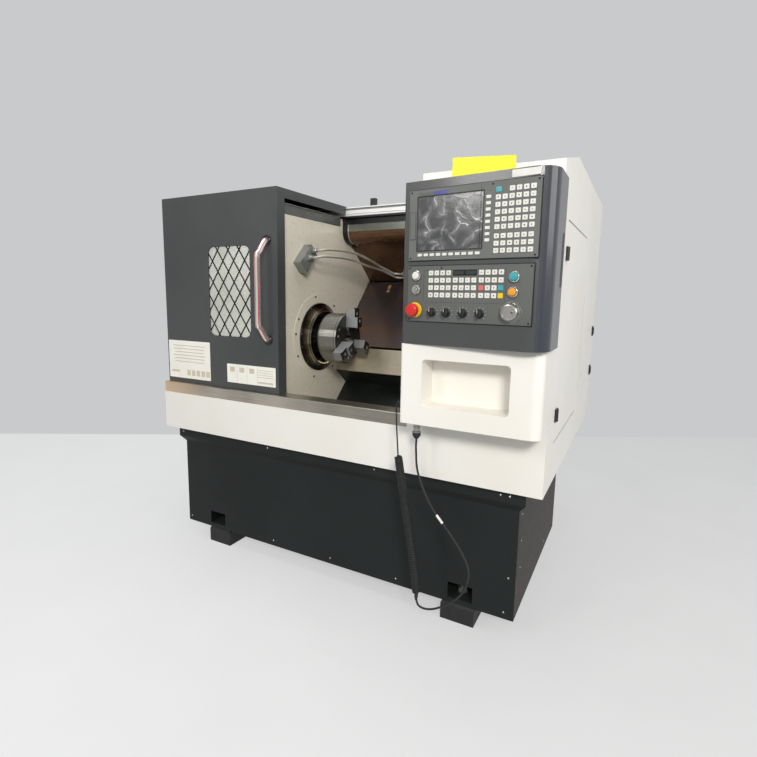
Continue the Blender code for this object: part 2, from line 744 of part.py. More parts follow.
def hinge_half(axis, z, along, outward, upper, paints):
    """Half of a block hinge: a leaf that lies along the sheet and its half of the knuckle."""
    def corner(distance, depth):
        x = axis[0] + along[0] * distance + outward[0] * depth
        y = axis[1] + along[1] * distance + outward[1] * depth
        return (x, y)

    low, high = (z + SEAT, z + HINGE_HEIGHT) if upper else (z - HINGE_HEIGHT, z)
    sheet = -HINGE_OUT - SHEET / 2
    near, far = PIN_R + 0.001, LEAF_LENGTH
    leaf_outline = [corner(near, sheet), corner(far, sheet), corner(far, 0.0005), corner(near, 0.0005)]
    leaf = prism("leaf", leaf_outline, "Z", z - HINGE_HEIGHT, z + HINGE_HEIGHT, paints["white"])
    bridge_outline = [corner(0.0, -PIN_R + 0.001), corner(near + 0.001, -PIN_R + 0.001),
                      corner(near + 0.001, 0.0005), corner(0.0, 0.0005)]
    bridge = prism("bridge", bridge_outline, "Z", low, high, paints["white"])
    profile = [(0.0, 0.0), (0.0, PIN_R), (high - low, PIN_R), (high - low, 0.0)]
    pin = turned("pin", profile, (*axis, low), (0, 0, 1), paints["white"], 12)
    return join(leaf, bridge, pin)


def build_side_door(paints):
    """Flush access door in the right side, hung on two black hinges at its front edge."""
    door = box(
        "side_door",
        (LENGTH - SHEET, LENGTH),
        (SIDE_DOOR_FRONT + DOOR_GAP, SIDE_DOOR_FRONT + SIDE_DOOR_LENGTH - DOOR_GAP),
        (SIDE_DOOR_LOW + DOOR_GAP, SIDE_DOOR_LOW + SIDE_DOOR_HEIGHT - DOOR_GAP),
        paints["white"],
    )
    join(door, *[hinge_half(SIDE_HINGE, z, (0, 1), (1, 0), True, paints) for z in SIDE_HINGE_HEIGHTS])
    return put_origin(door, (*SIDE_HINGE, SIDE_DOOR_LOW + SIDE_DOOR_HEIGHT / 2))


def build_rear_door(paints):
    """Door of the electrical space, hung on its right edge."""
    door = box(
        "rear_door",
        (REAR_DOOR_LEFT, REAR_DOOR_LEFT + REAR_DOOR_WIDTH),
        (DEPTH - SHEET, DEPTH),
        (REAR_DOOR_BOTTOM, REAR_DOOR_BOTTOM + REAR_DOOR_HEIGHT),
        paints["white"],
    )
    grip = box(
        "grip",
        (REAR_DOOR_LEFT + 0.030, REAR_DOOR_LEFT + 0.055),
        (DEPTH - SHEET / 2, DEPTH + 0.016),
        (REAR_DOOR_BOTTOM + 0.270, REAR_DOOR_BOTTOM + 0.380),
        paints["white"],
    )
    halves = [hinge_half(REAR_HINGE, z, (-1, 0), (0, 1), True, paints) for z in REAR_HINGE_HEIGHTS]
    join(door, grip, *halves)
    return put_origin(door, (*REAR_HINGE, REAR_DOOR_BOTTOM + REAR_DOOR_HEIGHT / 2))


def build_console(paints):
    """Box under the pendant with a round front corner and a deep tray recess."""
    front = CONSOLE_FRONT
    rear = RIGHT_FRONT - SEAT
    corner = arc((LENGTH - CONSOLE_CORNER, front + CONSOLE_CORNER), CONSOLE_CORNER, -90.0, 0.0, 6)
    left_corner = arc((CONSOLE_LEFT + 0.008, front + 0.008), 0.008, 180.0, 270.0, 2)
    outline = [*left_corner, *corner, (LENGTH, rear), (CONSOLE_LEFT, rear)]
    low = SILL + SEAT
    console = prism("console_box", outline, "Z", low, low + CONSOLE_HEIGHT, paints["white"])
    hollow = box("hollow", (CONSOLE_LEFT + SHEET, LENGTH - SHEET), (front + CONSOLE_CORNER, rear + 0.05),
                 (low + SHEET, low + CONSOLE_HEIGHT - SHEET), paints["white"])
    cut(console, hollow)
    recess_x = (CONSOLE_LEFT + RECESS_LEFT, CONSOLE_LEFT + RECESS_LEFT + RECESS_WIDTH)
    recess_z = (low + RECESS_BOTTOM, low + RECESS_BOTTOM + RECESS_HEIGHT)
    wide_x = (recess_x[0] - SHEET, recess_x[1] + SHEET)
    wide_z = (recess_z[0] - SHEET, recess_z[1] + SHEET)
    tub = prism("tub", round_rectangle(wide_x, wide_z, 0.015), "Y", front + CONSOLE_CORNER - 0.002,
                front + RECESS_DEPTH + SHEET, paints["white"])
    join(console, tub)
    recess = prism("recess", round_rectangle(recess_x, recess_z, 0.012), "Y", front - 0.05, front + RECESS_DEPTH,
                   paints["white"])
    gland_hole = turned("hole", [(-0.05, 0.0), (-0.05, 0.0085), (0.05, 0.0085), (0.05, 0.0)],
                        (GLAND_X, GLAND_Y, low), (0, 0, 1), paints["white"], 16)
    return cut(console, recess, gland_hole)


GLAND_X = CONSOLE_LEFT + 0.044
GLAND_Y = -0.078


def build_gland(paints):
    """Cable gland below the console: ribbed steel body, black dome nut, lead bore through the middle."""
    low = SILL + SEAT
    bore = LEAD_R + 0.0004
    profile = [
        (0.010, bore), (0.010, 0.0080), (-SEAT, 0.0080), (-SEAT, 0.0125), (-0.010, 0.0125), (-0.010, 0.0100),
        (-0.016, 0.0100), (-0.018, 0.0115), (-0.022, 0.0115), (-0.024, 0.0100), (-0.032, 0.0100),
        (-0.034, 0.0135), (-0.048, 0.0135), (-0.058, 0.0065), (-0.058, bore),
    ]
    return turned("cable_gland", profile, (GLAND_X, GLAND_Y, low), (0, 0, 1), paints["black"], 16)


def from_console(points):
    """Points whose x counts from the console's left side."""
    return [(CONSOLE_LEFT + x, y, z) for x, y, z in points]


def build_lead(paints):
    """Free lead: out of the gland, down in a loop over the floor, then the curly length with its thin tail."""
    gland_end = SILL + SEAT - 0.058
    down = [
        (0.044, GLAND_Y, gland_end - SEAT), (0.044, GLAND_Y, 0.660), (0.054, -0.084, 0.590), (0.088, -0.092, 0.516),
        (0.126, -0.097, 0.464), (0.185, -0.100, 0.400), (0.226, -0.101, 0.345), (0.246, -0.102, 0.296),
        (0.238, -0.102, 0.240), (0.208, -0.101, 0.190), (0.159, -0.100, 0.146), (0.122, -0.099, 0.124),
        (0.090, -0.098, 0.118), (0.0715, -0.096, 0.128), (0.067, -0.096, 0.162),
    ]
    tube("hanging_lead", from_console(down), LEAD_R, 0.019, 2, paints["rubber"])
    curly = smooth_route(from_console([(0.067, -0.096, 0.162 + SEAT), (0.056, -0.096, 0.250), (0.038, -0.098, 0.360),
                                       (0.014, -0.102, 0.500), (-0.008, -0.106, 0.640)]), 0.045)
    tail = smooth_route(from_console([(-0.0085, -0.106, 0.646), (-0.011, -0.108, 0.690), (-0.015, -0.109, 0.750),
                                      (-0.0165, -0.109, 0.795), (-0.0135, -0.109, 0.817), (-0.009, -0.109, 0.8225),
                                      (-SEAT, -0.109, 0.8225)]), 0.008)
    shares = [1.0] * len(curly) + [TAIL_R / CURLY_R] * len(tail)
    bar_along("curly_lead", curly + tail, CURLY_R, 2, paints["rubber"], shares)


def pendant_frame():
    """Empty at the pendant's lower left front corner, turned so that its x runs along the angled face."""
    frame = bpy.data.objects.new("pendant_frame", None)
    frame.location = (PENDANT_LEFT, CONSOLE_FRONT, PENDANT_BOTTOM)
    frame.rotation_euler = (0.0, 0.0, PANEL_YAW)
    bpy.context.collection.objects.link(frame)
    return frame


PENDANT_LEFT = CONSOLE_LEFT + 0.003
PENDANT_BOTTOM = SILL + CONSOLE_HEIGHT + 2 * SEAT


def build_pendant(paints):
    """Wedge-shaped housing: its face is turned towards the door, its right edge is a large round."""
    centre_x = PENDANT_SIDE - PENDANT_CORNER
    along = (centre_x - PENDANT_LEFT) * math.sin(PANEL_YAW)
    centre_y = CONSOLE_FRONT + (along + PENDANT_CORNER) / math.cos(PANEL_YAW)
    start = -90.0 + math.degrees(PANEL_YAW)
    rounded = arc((centre_x, centre_y), PENDANT_CORNER, start, 0.0, 10)
    rear = RIGHT_FRONT - SEAT
    soft_edge = [
        (PENDANT_LEFT, CONSOLE_FRONT + PENDANT_EDGE),
        (PENDANT_LEFT + PENDANT_EDGE, CONSOLE_FRONT + PENDANT_EDGE * math.tan(PANEL_YAW)),
    ]
    outline = [*soft_edge, *rounded, (PENDANT_SIDE, rear), (PENDANT_LEFT, rear)]
    bottom = PENDANT_BOTTOM
    housing = prism("pendant_housing", outline, "Z", bottom, bottom + PENDANT_HEIGHT, paints["pendant"])
    slot_y, slot_z = VENT_SLOT
    slot = box("slot", (PENDANT_SIDE - 0.004, PENDANT_SIDE + 0.02), (RIGHT_FRONT + slot_y[0], RIGHT_FRONT + slot_y[1]),
               (SILL + slot_z[0], SILL + slot_z[1]), paints["pendant"])
    return cut(housing, slot)


def on_panel(obj, frame):
    obj.parent = frame
    return obj


DISPLAY = ((0.021, 0.410), (0.254, 0.458))
PANEL = ((0.021, 0.402), (0.072, 0.237))
SCREEN = ((0.050, 0.253), (0.283, 0.437))
PLATE = 0.006
KEY_HEIGHT = 0.0015


def key_block(x, z, width, height, face, paints):
    return box("key", (x, x + width), (face - KEY_HEIGHT, face + 0.002), (z, z + height), paints["key"])


def build_display(frame, paints):
    """Display unit: a frame plate around the screen, with the keypad, the side column and the soft keys."""
    face = -PLATE - SEAT
    (x0, x1), (z0, z1) = DISPLAY
    unit = prism("display_unit", round_rectangle((x0, x1), (z0, z1), 0.003, 2), "Y", face, -SEAT, paints["panel"])
    opening = box("opening", SCREEN[0], (face - 0.02, face + 0.004), SCREEN[1], paints["panel"])
    cut(unit, opening)
    keys = []
    for column in range(6):
        for row in range(9):
            if row == 8 and column < 2:
                continue
            z = z0 + 0.014 + row * 0.0195 + (0.005 if row > 2 else 0.0)
            keys.append(key_block(x0 + 0.268 + column * 0.0188, z, 0.0135, 0.0125, face, paints))
    keys.append(key_block(x0 + 0.268, z1 - 0.029, 0.0155, 0.0135, face, paints))
    for row in range(8):
        keys.append(key_block(x0 + 0.241, z0 + 0.046 + row * 0.0165, 0.013, 0.008, face, paints))
    for column in range(10):
        keys.append(key_block(x0 + 0.032 + column * 0.0203, z0 + 0.012, 0.0135, 0.0075, face, paints))
    flap = box("flap", (x0 + 0.004, x0 + 0.022), (face - 0.0012, face + 0.002), (z0 + 0.062, z0 + 0.142),
               paints["panel"])
    join(unit, flap, *keys)
    on_panel(unit, frame)
    glass = box("screen_glass", (SCREEN[0][0] + SEAT, SCREEN[0][1] - SEAT), (face + 0.0015, face + 0.004 - SEAT),
                (SCREEN[1][0] + SEAT, SCREEN[1][1] - SEAT), paints["screen"])
    on_panel(glass, frame)


PUSH_PLACES = {
    "push_white": ((0.031, 0.137), "key"),
    "push_teal": ((0.331, 0.131), "teal"),
    "push_orange": ((0.329, 0.090), "orange"),
}
STOP_PLACE = (0.027, 0.034)
KEY_SWITCH_PLACE = (0.030, 0.095)
KNOB_XS = (0.085, 0.132, 0.185, 0.236)
KNOB_Z = 0.028
DIAL_PLACE = (0.325, 0.035)
PUSH_R = 0.0110
BEZEL_R = 0.0150
BUTTON_HOLE_DEPTH = 0.0135


def panel_point(place):
    """A control's place on the operator panel, in the pendant's own frame."""
    return (PANEL[0][0] + place[0], PANEL[1][0] + place[1])


def build_operator_panel(frame, paints):
    """Panel with the key matrix, button collars and the bores in which buttons and spindles run."""
    face = -PLATE - SEAT
    panel = prism("operator_panel", round_rectangle(*PANEL, 0.003, 2), "Y", face, -SEAT, paints["panel"])
    raised = []
    x0, z0 = PANEL[0][0], PANEL[1][0]
    for row in range(4):
        for column in range(12):
            if row == 3 and 4 <= column < 8:
                continue
            x = x0 + 0.072 + column * 0.0190 + 0.003 * (column // 4)
            raised.append(key_block(x, z0 + 0.073 + row * 0.0215, 0.0140, 0.0135, face, paints))
    bores = []
    for place, _ in PUSH_PLACES.values():
        x, z = panel_point(place)
        collar = [(-0.003, 0.0), (-0.003, BEZEL_R), (0.006, BEZEL_R), (0.008, BEZEL_R - 0.002), (0.008, 0.0)]
        raised.append(turned("collar", collar, (x, face, z), (0, -1, 0), paints["panel"], 20))
        bores.append(bore_at(x, z, PUSH_R + RUNNING, face, paints))
    x, z = panel_point(STOP_PLACE)
    collar = [(-0.003, 0.0), (-0.003, 0.0225), (0.002, 0.0225), (0.003, 0.0215), (0.003, 0.0)]
    raised.append(turned("collar", collar, (x, face, z), (0, -1, 0), paints["panel"], 24))
    bores.append(bore_at(x, z, 0.010 + RUNNING, face, paints))
    x, z = panel_point(KEY_SWITCH_PLACE)
    collar = [(-0.003, 0.0), (-0.003, 0.0145), (0.005, 0.0145), (0.007, 0.0125), (0.007, 0.0)]
    raised.append(turned("collar", collar, (x, face, z), (0, -1, 0), paints["panel"], 20))
    bores.append(bore_at(x, z, 0.0075 + RUNNING, face, paints))
    for knob_x in KNOB_XS:
        x, z = panel_point((knob_x, KNOB_Z))
        bores.append(bore_at(x, z, 0.004 + RUNNING, face, paints))
    x, z = panel_point(DIAL_PLACE)
    bores.append(bore_at(x, z, 0.009 + RUNNING, face, paints))
    join(panel, *raised)
    cut(panel, *bores)
    return on_panel(panel, frame)


def bore_at(x, z, radius, face, paints):
    profile = [(-BUTTON_HOLE_DEPTH, 0.0), (-BUTTON_HOLE_DEPTH, radius), (0.02, radius), (0.02, 0.0)]
    return turned("bore", profile, (x, face, z), (0, -1, 0), paints["panel"], 20)


def control(name, place, profile, material, frame, segments=20):
    """A turned control whose origin lies on its axis at the panel's face."""
    x, z = panel_point(place)
    obj = turned(name, profile, (0, 0, 0), (0, -1, 0), material, segments)
    obj.location = (x, -PLATE - SEAT, z)
    return on_panel(obj, frame)


def build_controls(frame, paints):
    for name, (place, colour) in PUSH_PLACES.items():
        control(name, place, [(-0.002, 0.0), (-0.002, PUSH_R), (0.011, PUSH_R), (0.013, PUSH_R - 0.002),
                              (0.0135, 0.0)], paints[colour], frame)
    control("estop_head", STOP_PLACE, [(-0.0015, 0.0), (-0.0015, 0.010), (0.010, 0.010), (0.011, 0.0165),
                                       (0.014, 0.0195), (0.022, 0.0200), (0.027, 0.0185), (0.029, 0.0150),
                                       (0.030, 0.0)], paints["red"], frame, 24)
    key = control("key_switch", KEY_SWITCH_PLACE, [(-0.005, 0.0), (-0.005, 0.0075), (0.009, 0.0075), (0.009, 0.0)],
                  paints["chrome"], frame)
    slot = box("slot", (-0.0012, 0.0012), (-0.02, -0.006), (-0.005, 0.005), paints["chrome"])
    cut(key, beside(slot, key))
    for index, knob_x in enumerate(KNOB_XS, start=1):
        profile = [(-0.005, 0.0), (-0.005, 0.004), (SEAT, 0.004), (SEAT, 0.0135), (0.003, 0.0135), (0.004, 0.0115),
                   (0.014, 0.0105), (0.016, 0.0090), (0.016, 0.0)]
        knob = control(f"override_knob_{index}", (knob_x, KNOB_Z), profile, paints["knob"], frame, 24)
        grip = box("grip", (-0.0022, 0.0022), (-0.0195, -0.010), (-0.0112, 0.0112), paints["knob"])
        join(knob, beside(grip, knob))
    dial_profile = [(-0.005, 0.0), (-0.005, 0.009), (SEAT, 0.009), (SEAT, 0.0270), (0.004, 0.0270), (0.006, 0.0250),
                    (0.016, 0.0240), (0.020, 0.0215), (0.021, 0.0180), (0.019, 0.0170), (0.019, 0.0)]
    dial = control("handwheel_dial", DIAL_PLACE, dial_profile, paints["silver"], frame, 36)
    dimple = turned("dimple", [(0.012, 0.0), (0.012, 0.003), (0.03, 0.005), (0.03, 0.0)], (0.0105, 0, 0), (0, -1, 0),
                    paints["silver"], 12)
    cut(dial, beside(dimple, dial))


def beside(tool, target):
    """Put a tool that was modelled about the target's origin into the target's frame."""
    tool.parent = target.parent
    tool.location = target.location
    return tool


def build_yellow_plate(paints):
    """Yellow plate that stands on the pendant's top edge, in front of the enclosure."""
    left, right = PENDANT_LEFT + 0.097, PENDANT_LEFT + 0.293
    bottom = PENDANT_BOTTOM + PENDANT_HEIGHT + SEAT
    outline = [(left, bottom), (right, bottom), (right, SILL + 0.824), (left, SILL + 0.838)]
    rear = RIGHT_FRONT - SEAT
    return prism("yellow_plate", outline, "Y", rear - 0.004, rear, paints["yellow"])


def build_sliding_door(paints):
    """Folded door that covers the front and the top of the opening, drawn open to the left."""
    low = SILL + SEAT
    x = (0.0, DOOR_WIDTH)
    door = box("sliding_door", x, (DOOR_FRONT, DOOR_REAR), (low, DOOR_TOP), paints["door"])
    inside = box("inside", (-0.05, DOOR_WIDTH + 0.05), (DOOR_FRONT + SHEET, DOOR_REAR + 0.05),
                 (low - 0.05, DOOR_TOP - SHEET), paints["door"])
    cut(door, inside)
    folds = []
    for edge in ((0.0, SHEET), (DOOR_WIDTH - SHEET, DOOR_WIDTH)):
        folds.append(box("side_fold", edge, (DOOR_FRONT + SHEET / 2, DOOR_FRONT + DOOR_RETURN),
                         (low, DOOR_TOP - SHEET / 2), paints["door"]))
        folds.append(box("top_fold", edge, (DOOR_FRONT + SHEET / 2, HEADER_FRONT - 0.004),
                         (DOOR_TOP - DOOR_FLANGE, DOOR_TOP - SHEET / 2), paints["door"]))
    join(door, *folds)
    view_x = (VIEW_LEFT, VIEW_LEFT + VIEW_WIDTH)
    view_z = (SILL + VIEW_BOTTOM, SILL + VIEW_BOTTOM + VIEW_HEIGHT)
    view = prism("view", round_rectangle(view_x, view_z, VIEW_CORNER), "Y", DOOR_FRONT - 0.02, DOOR_FRONT + 0.02,
                 paints["door"])
    cut(door, view)
    return put_origin(door, (DOOR_WIDTH / 2, DOOR_FRONT, SILL))


MESH_MARGIN = 0.016
MESH_SHEET = 0.0015
MESH_PITCH_X = 0.0604
MESH_PITCH_Z = 0.0886
MESH_START = (-0.0035, 0.0133)
MESH_STRAND = 0.0052
GLASS_SHEET = 0.004


def build_window(paints):
    """Diamond mesh guard behind the opening, safety glass behind the mesh."""
    x = (VIEW_LEFT - MESH_MARGIN, VIEW_LEFT + VIEW_WIDTH + MESH_MARGIN)
    z = (SILL + VIEW_BOTTOM - MESH_MARGIN, SILL + VIEW_BOTTOM + VIEW_HEIGHT + MESH_MARGIN)
    y = DOOR_FRONT + SHEET + SEAT
    guard = box("window_mesh", x, (y, y + MESH_SHEET), z, paints["black"])
    rim = 0.010
    bm = bmesh.new()
    half_x = MESH_PITCH_X / 2 - MESH_STRAND * 0.62
    half_z = MESH_PITCH_Z / 2 - MESH_STRAND * 0.88
    columns = int((x[1] - x[0]) / MESH_PITCH_X * 2) + 1
    rows = int((z[1] - z[0]) / MESH_PITCH_Z * 2) + 1
    for row in range(-1, rows + 1):
        for column in range(-1, columns + 1):
            if (row + column) % 2 == 0:
                continue
            cx = x[0] + rim + MESH_START[0] + column * MESH_PITCH_X / 2
            cz = z[0] + rim + MESH_START[1] + row * MESH_PITCH_Z / 2
            diamond = [(cx - half_x, cz), (cx, cz - half_z), (cx + half_x, cz), (cx, cz + half_z)]
            clipped = clip_outline(diamond, (x[0] + rim, x[1] - rim), (z[0] + rim, z[1] - rim))
            if len(clipped) < 3:
                continue
            near = [bm.verts.new((a, y - 0.01, b)) for a, b in clipped]
            far = [bm.verts.new((a, y + 0.01, b)) for a, b in clipped]
            bm.faces.new(near)
            bm.faces.new(list(reversed(far)))
            for i in range(len(clipped)):
                j = (i + 1) % len(clipped)
                bm.faces.new((near[i], far[i], far[j], near[j]))
    cut(guard, finished("diamonds", bm, paints["black"]))
    glass_y = y + MESH_SHEET + SEAT
    glass = box("window_glass", x, (glass_y, glass_y + GLASS_SHEET), z, paints["glass"])
    return guard, glass


def clip_outline(points, x, z):
    """Clip a convex outline to a rectangle, side by side, and drop slivers."""
    sides = [(0, x[0], 1), (0, x[1], -1), (1, z[0], 1), (1, z[1], -1)]
    for axis, limit, sign in sides:
        kept = []
        for i, here in enumerate(points):
            after = points[(i + 1) % len(points)]
            inside_here = sign * (here[axis] - limit) >= 0
            inside_after = sign * (after[axis] - limit) >= 0
            if inside_here:
                kept.append(here)
            if inside_here != inside_after:
                share = (limit - here[axis]) / (after[axis] - here[axis])
                kept.append((here[0] + share * (after[0] - here[0]), here[1] + share * (after[1] - here[1])))
        points = kept
        if len(points) < 3:
            return []
    area = 0.0
    for i, here in enumerate(points):
        after = points[(i + 1) % len(points)]
        area += here[0] * after[1] - after[0] * here[1]
    return points if abs(area) > 1e-4 else []


def build_handle(paints):
    """Bent tube handle on two round flanges."""
    y = DOOR_FRONT - SEAT
    low = SILL + HANDLE_BOTTOM
    high = SILL + HANDLE_TOP
    reach = y - HANDLE_REACH
    points = [
        (HANDLE_X, y, low), (HANDLE_X, y - 0.018, low + 0.010), (HANDLE_X, reach + 0.012, low + HANDLE_BEND - 0.020),
        (HANDLE_X, reach, low + HANDLE_BEND), (HANDLE_X, reach, (low + high) / 2),
        (HANDLE_X, reach, high - HANDLE_BEND), (HANDLE_X, reach + 0.012, high - HANDLE_BEND + 0.020),
        (HANDLE_X, y - 0.018, high - 0.010), (HANDLE_X, y, high),
    ]
    bar = tube("door_handle", points, HANDLE_R, 0.014, 2, paints["chrome"])
    depsgraph = bpy.context.evaluated_depsgraph_get()
    depsgraph.update()
    mesh = bpy.data.meshes.new_from_object(bar.evaluated_get(depsgraph))
    bpy.data.objects.remove(bar)
    solid = bpy.data.objects.new("door_handle", mesh)
    bpy.context.collection.objects.link(solid)
    trim = box("trim", (HANDLE_X - 0.05, HANDLE_X + 0.05), (y, y + 0.05), (low - 0.05, high + 0.05), paints["chrome"])
    cut(solid, trim)
    flanges = []
    for z in (low, high):
        profile = [(0.0, 0.0), (0.0, FLANGE_DISC_R), (0.005, FLANGE_DISC_R), (0.008, FLANGE_DISC_R - 0.004), (0.008, 0.0)]
        flanges.append(turned("flange", profile, (HANDLE_X, y, z), (0, -1, 0), paints["chrome"], 20))
    return join(solid, *flanges)


def build_bed(paints):
    """Slanted casting with two guide rails and the screw's end blocks."""
    low = slanted(BED_S0, -BED_DROP)
    high = slanted(BED_S1, -BED_DROP)
    foot = BASE_TOP + SEAT
    outline = [
        (BED_FRONT, foot), (BED_FRONT, foot + 0.115), (0.626, 0.705), (0.626, low[1] - 0.030), low, high,
        (high[0], high[1] - 0.220), (BED_REAR, high[1] - 0.280), (BED_REAR, foot),
    ]
    bed = prism("slant_bed", outline, "X", BED_LEFT, BED_RIGHT, paints["cast"])
    core = [
        (BED_FRONT + 0.085, foot + 0.040), (BED_FRONT + 0.085, low[1] - 0.030), (high[0] - 0.070, high[1] - 0.130),
        (high[0] - 0.070, high[1] - 0.240), (BED_REAR - 0.040, high[1] - 0.300), (BED_REAR - 0.040, foot + 0.040),
    ]
    hollow = prism("core", core, "X", BED_LEFT - 0.05, BED_RIGHT + 0.05, paints["cast"])
    cut(bed, hollow)
    extras = []
    for s in (RAIL_LOW, RAIL_HIGH):
        extras.append(slanted_block("rail", (s - RAIL_WIDTH / 2, s + RAIL_WIDTH / 2),
                                    (-BED_DROP - 0.004, -BED_DROP + RAIL_HEIGHT), (RAIL_START, RAIL_END), paints))
    holes = []
    for x in SCREW_BLOCKS:
        extras.append(slanted_block("block", (SCREW_S - 0.034, SCREW_S + 0.034), (-BED_DROP - 0.004, -0.050), x,
                                    paints))
    join(bed, *extras)
    y, z = slanted(SCREW_S, SCREW_N)
    profile = [(0.0, 0.0), (0.0, SCREW_R + RUNNING), (LENGTH, SCREW_R + RUNNING), (LENGTH, 0.0)]
    holes.append(turned("bore", profile, (0.5, y, z), (1, 0, 0), paints["cast"], 24))
    return cut(bed, *holes)


RAIL_START = 0.700
RAIL_END = LENGTH - 0.060
SCREW_BLOCKS = ((0.660, 0.695), (LENGTH - 0.165, LENGTH - 0.135))


def slanted_block(name, s, n, x, paints, material="cast"):
    """A block given by its stretch up the slope, out of the slope and along x."""
    outline = [slanted(s[0], n[0]), slanted(s[1], n[0]), slanted(s[1], n[1]), slanted(s[0], n[1])]
    return prism(name, outline, "X", x[0], x[1], paints[material])


def build_saddle(paints):
    x = (SADDLE_LEFT, SADDLE_LEFT + SADDLE_LENGTH)
    bottom = -BED_DROP + RAIL_HEIGHT + RUNNING
    saddle = slanted_block("saddle", (0.004, 0.432), (bottom, SADDLE_TOP), x, paints)
    extras = []
    for s in (RAIL_LOW, RAIL_HIGH):
        for side in (-1, 1):
            edge = s + side * (RAIL_WIDTH / 2 + RUNNING)
            stretch = sorted((edge, edge + side * 0.020))
            extras.append(slanted_block("lip", stretch, (bottom - 0.020, bottom + 0.004), x, paints))
    extras.append(slanted_block("nut", (SCREW_S - 0.028, SCREW_S + 0.028), (SCREW_N - 0.018, bottom + 0.004),
                                (x[0] + 0.090, x[1] - 0.090), paints))
    for way in CROSS_WAYS:
        extras.append(slanted_block("way", (0.012, 0.424), (SADDLE_TOP - 0.004, SADDLE_TOP + 0.016), way, paints))
    join(saddle, *extras)
    y, z = slanted(SCREW_S, SCREW_N)
    profile = [(0.0, 0.0), (0.0, SCREW_R + RUNNING), (0.5, SCREW_R + RUNNING), (0.5, 0.0)]
    bore = turned("bore", profile, (x[0] - 0.1, y, z), (1, 0, 0), paints["cast"], 24)
    cut(saddle, bore)
    return put_origin(saddle, (x[0] + SADDLE_LENGTH / 2, *slanted(SCREW_S, bottom)))


CROSS_WAYS = ((SADDLE_LEFT + 0.035, SADDLE_LEFT + 0.065), (SADDLE_LEFT + 0.225, SADDLE_LEFT + 0.255))


def build_screw(paints):
    y, z = slanted(SCREW_S, SCREW_N)
    start, end = SCREW_BLOCKS[0][0] + 0.002, SCREW_BLOCKS[1][1] + 0.025
    profile = [(0.0, 0.0), (0.0, SCREW_R - 0.001), (0.001, SCREW_R), (end - start - 0.020, SCREW_R),
               (end - start - 0.020, SCREW_R * 0.6), (end - start, SCREW_R * 0.6), (end - start, 0.0)]
    screw = turned("z_ball_screw", profile, (0, 0, 0), (1, 0, 0), paints["chrome"], 24)
    screw.location = (start, y, z)
    return screw


def build_cross_slide(paints):
    """Plate on the saddle's ways that carries the turret housing."""
    x = (SADDLE_LEFT + 0.010, SADDLE_LEFT + SADDLE_LENGTH - 0.010)
    bottom = SADDLE_TOP + 0.016 + SEAT
    slide = slanted_block("cross_slide", (0.060, 0.380), (bottom, bottom + 0.030), x, paints, "grey")
    s = TURRET_S
    body = [
        slanted(s - 0.115, bottom + 0.026), slanted(s + 0.125, bottom + 0.026), slanted(s + 0.125, SPINDLE_N + 0.060),
        slanted(s + 0.080, SPINDLE_N + 0.100), slanted(s - 0.070, SPINDLE_N + 0.100),
        slanted(s - 0.115, SPINDLE_N + 0.055),
    ]
    housing = prism("housing", body, "X", x[0], x[1] - 0.030, paints["grey"])
    join(slide, housing)
    return put_origin(slide, (SADDLE_LEFT + SADDLE_LENGTH / 2, *slanted(s, bottom)))


def build_turret(paints):
    """Eight-station disc with tool blocks: turning tools and boring bars take turns."""
    y, z = slanted(TURRET_S, SPINDLE_N)
    face = SADDLE_LEFT + 0.010 - SEAT
    profile = [
        (0.0, 0.0), (0.0, DISC_R), (0.012, DISC_R + 0.003), (DISC_THICKNESS - 0.004, DISC_R + 0.003),
        (DISC_THICKNESS, DISC_R - 0.002), (DISC_THICKNESS, 0.030), (DISC_THICKNESS + 0.008, 0.026),
        (DISC_THICKNESS + 0.008, 0.0),
    ]
    disc = turned("turret_disc", profile, (0, 0, 0), (-1, 0, 0), paints["grey"], STATION_COUNT * 3)
    extras = []
    for station in range(STATION_COUNT):
        angle = 2.0 * math.pi * station / STATION_COUNT
        extras.append(tool_block(angle, station % 2 == 0, paints))
    join(disc, *extras)
    disc.location = (face, y, z)
    return disc


def tool_block(angle, turning, paints):
    """Clamp block on the rim with either a square turning tool or a round boring bar."""
    width = 0.036 if turning else 0.044
    height = 0.032 if turning else 0.036
    block = box("block", (-DISC_THICKNESS + 0.010, -0.012), (-width / 2, width / 2),
                (DISC_R - 0.016, DISC_R + height), paints["grey"])
    if turning:
        tool = box("tool", (-DISC_THICKNESS - 0.022, -0.030), (-0.006, 0.006), (DISC_R + 0.010, DISC_R + 0.022),
                   paints["grey"])
    else:
        tool = turned("tool", [(0.0, 0.0), (0.0, 0.009), (0.090, 0.009), (0.090, 0.0)],
                      (-0.040, 0.0, DISC_R + 0.014), (-1, 0, 0), paints["grey"], 12)
    join(block, tool)
    block.data.transform(Matrix.Rotation(angle, 4, "X"))
    return block


def build_headstock(paints):
    """Casting that carries the spindle on the bed."""
    outline = [
        slanted(BED_S0 + 0.004, -BED_DROP + SEAT), slanted(0.300, -BED_DROP + SEAT), slanted(0.300, -0.050),
        slanted(0.060, 0.060), slanted(0.060, SPINDLE_N + 0.085), slanted(0.020, SPINDLE_N + 0.125),
        slanted(-0.150, SPINDLE_N + 0.125), slanted(-0.205, SPINDLE_N + 0.070), slanted(-0.205, 0.050),
        slanted(-0.090, -0.040),
    ]
    stock = prism("headstock", outline, "X", HEADSTOCK_X[0], HEADSTOCK_X[1], paints["cast"])
    profile = [(0.0, 0.0), (0.0, SPINDLE_R + RUNNING), (1.0, SPINDLE_R + RUNNING), (1.0, 0.0)]
    bore = turned("bore", profile, (0.0, SPINDLE_Y, SPINDLE_Z), (1, 0, 0), paints["cast"], 28)
    return cut(stock, bore)


HEADSTOCK_X = (0.220, 0.585)


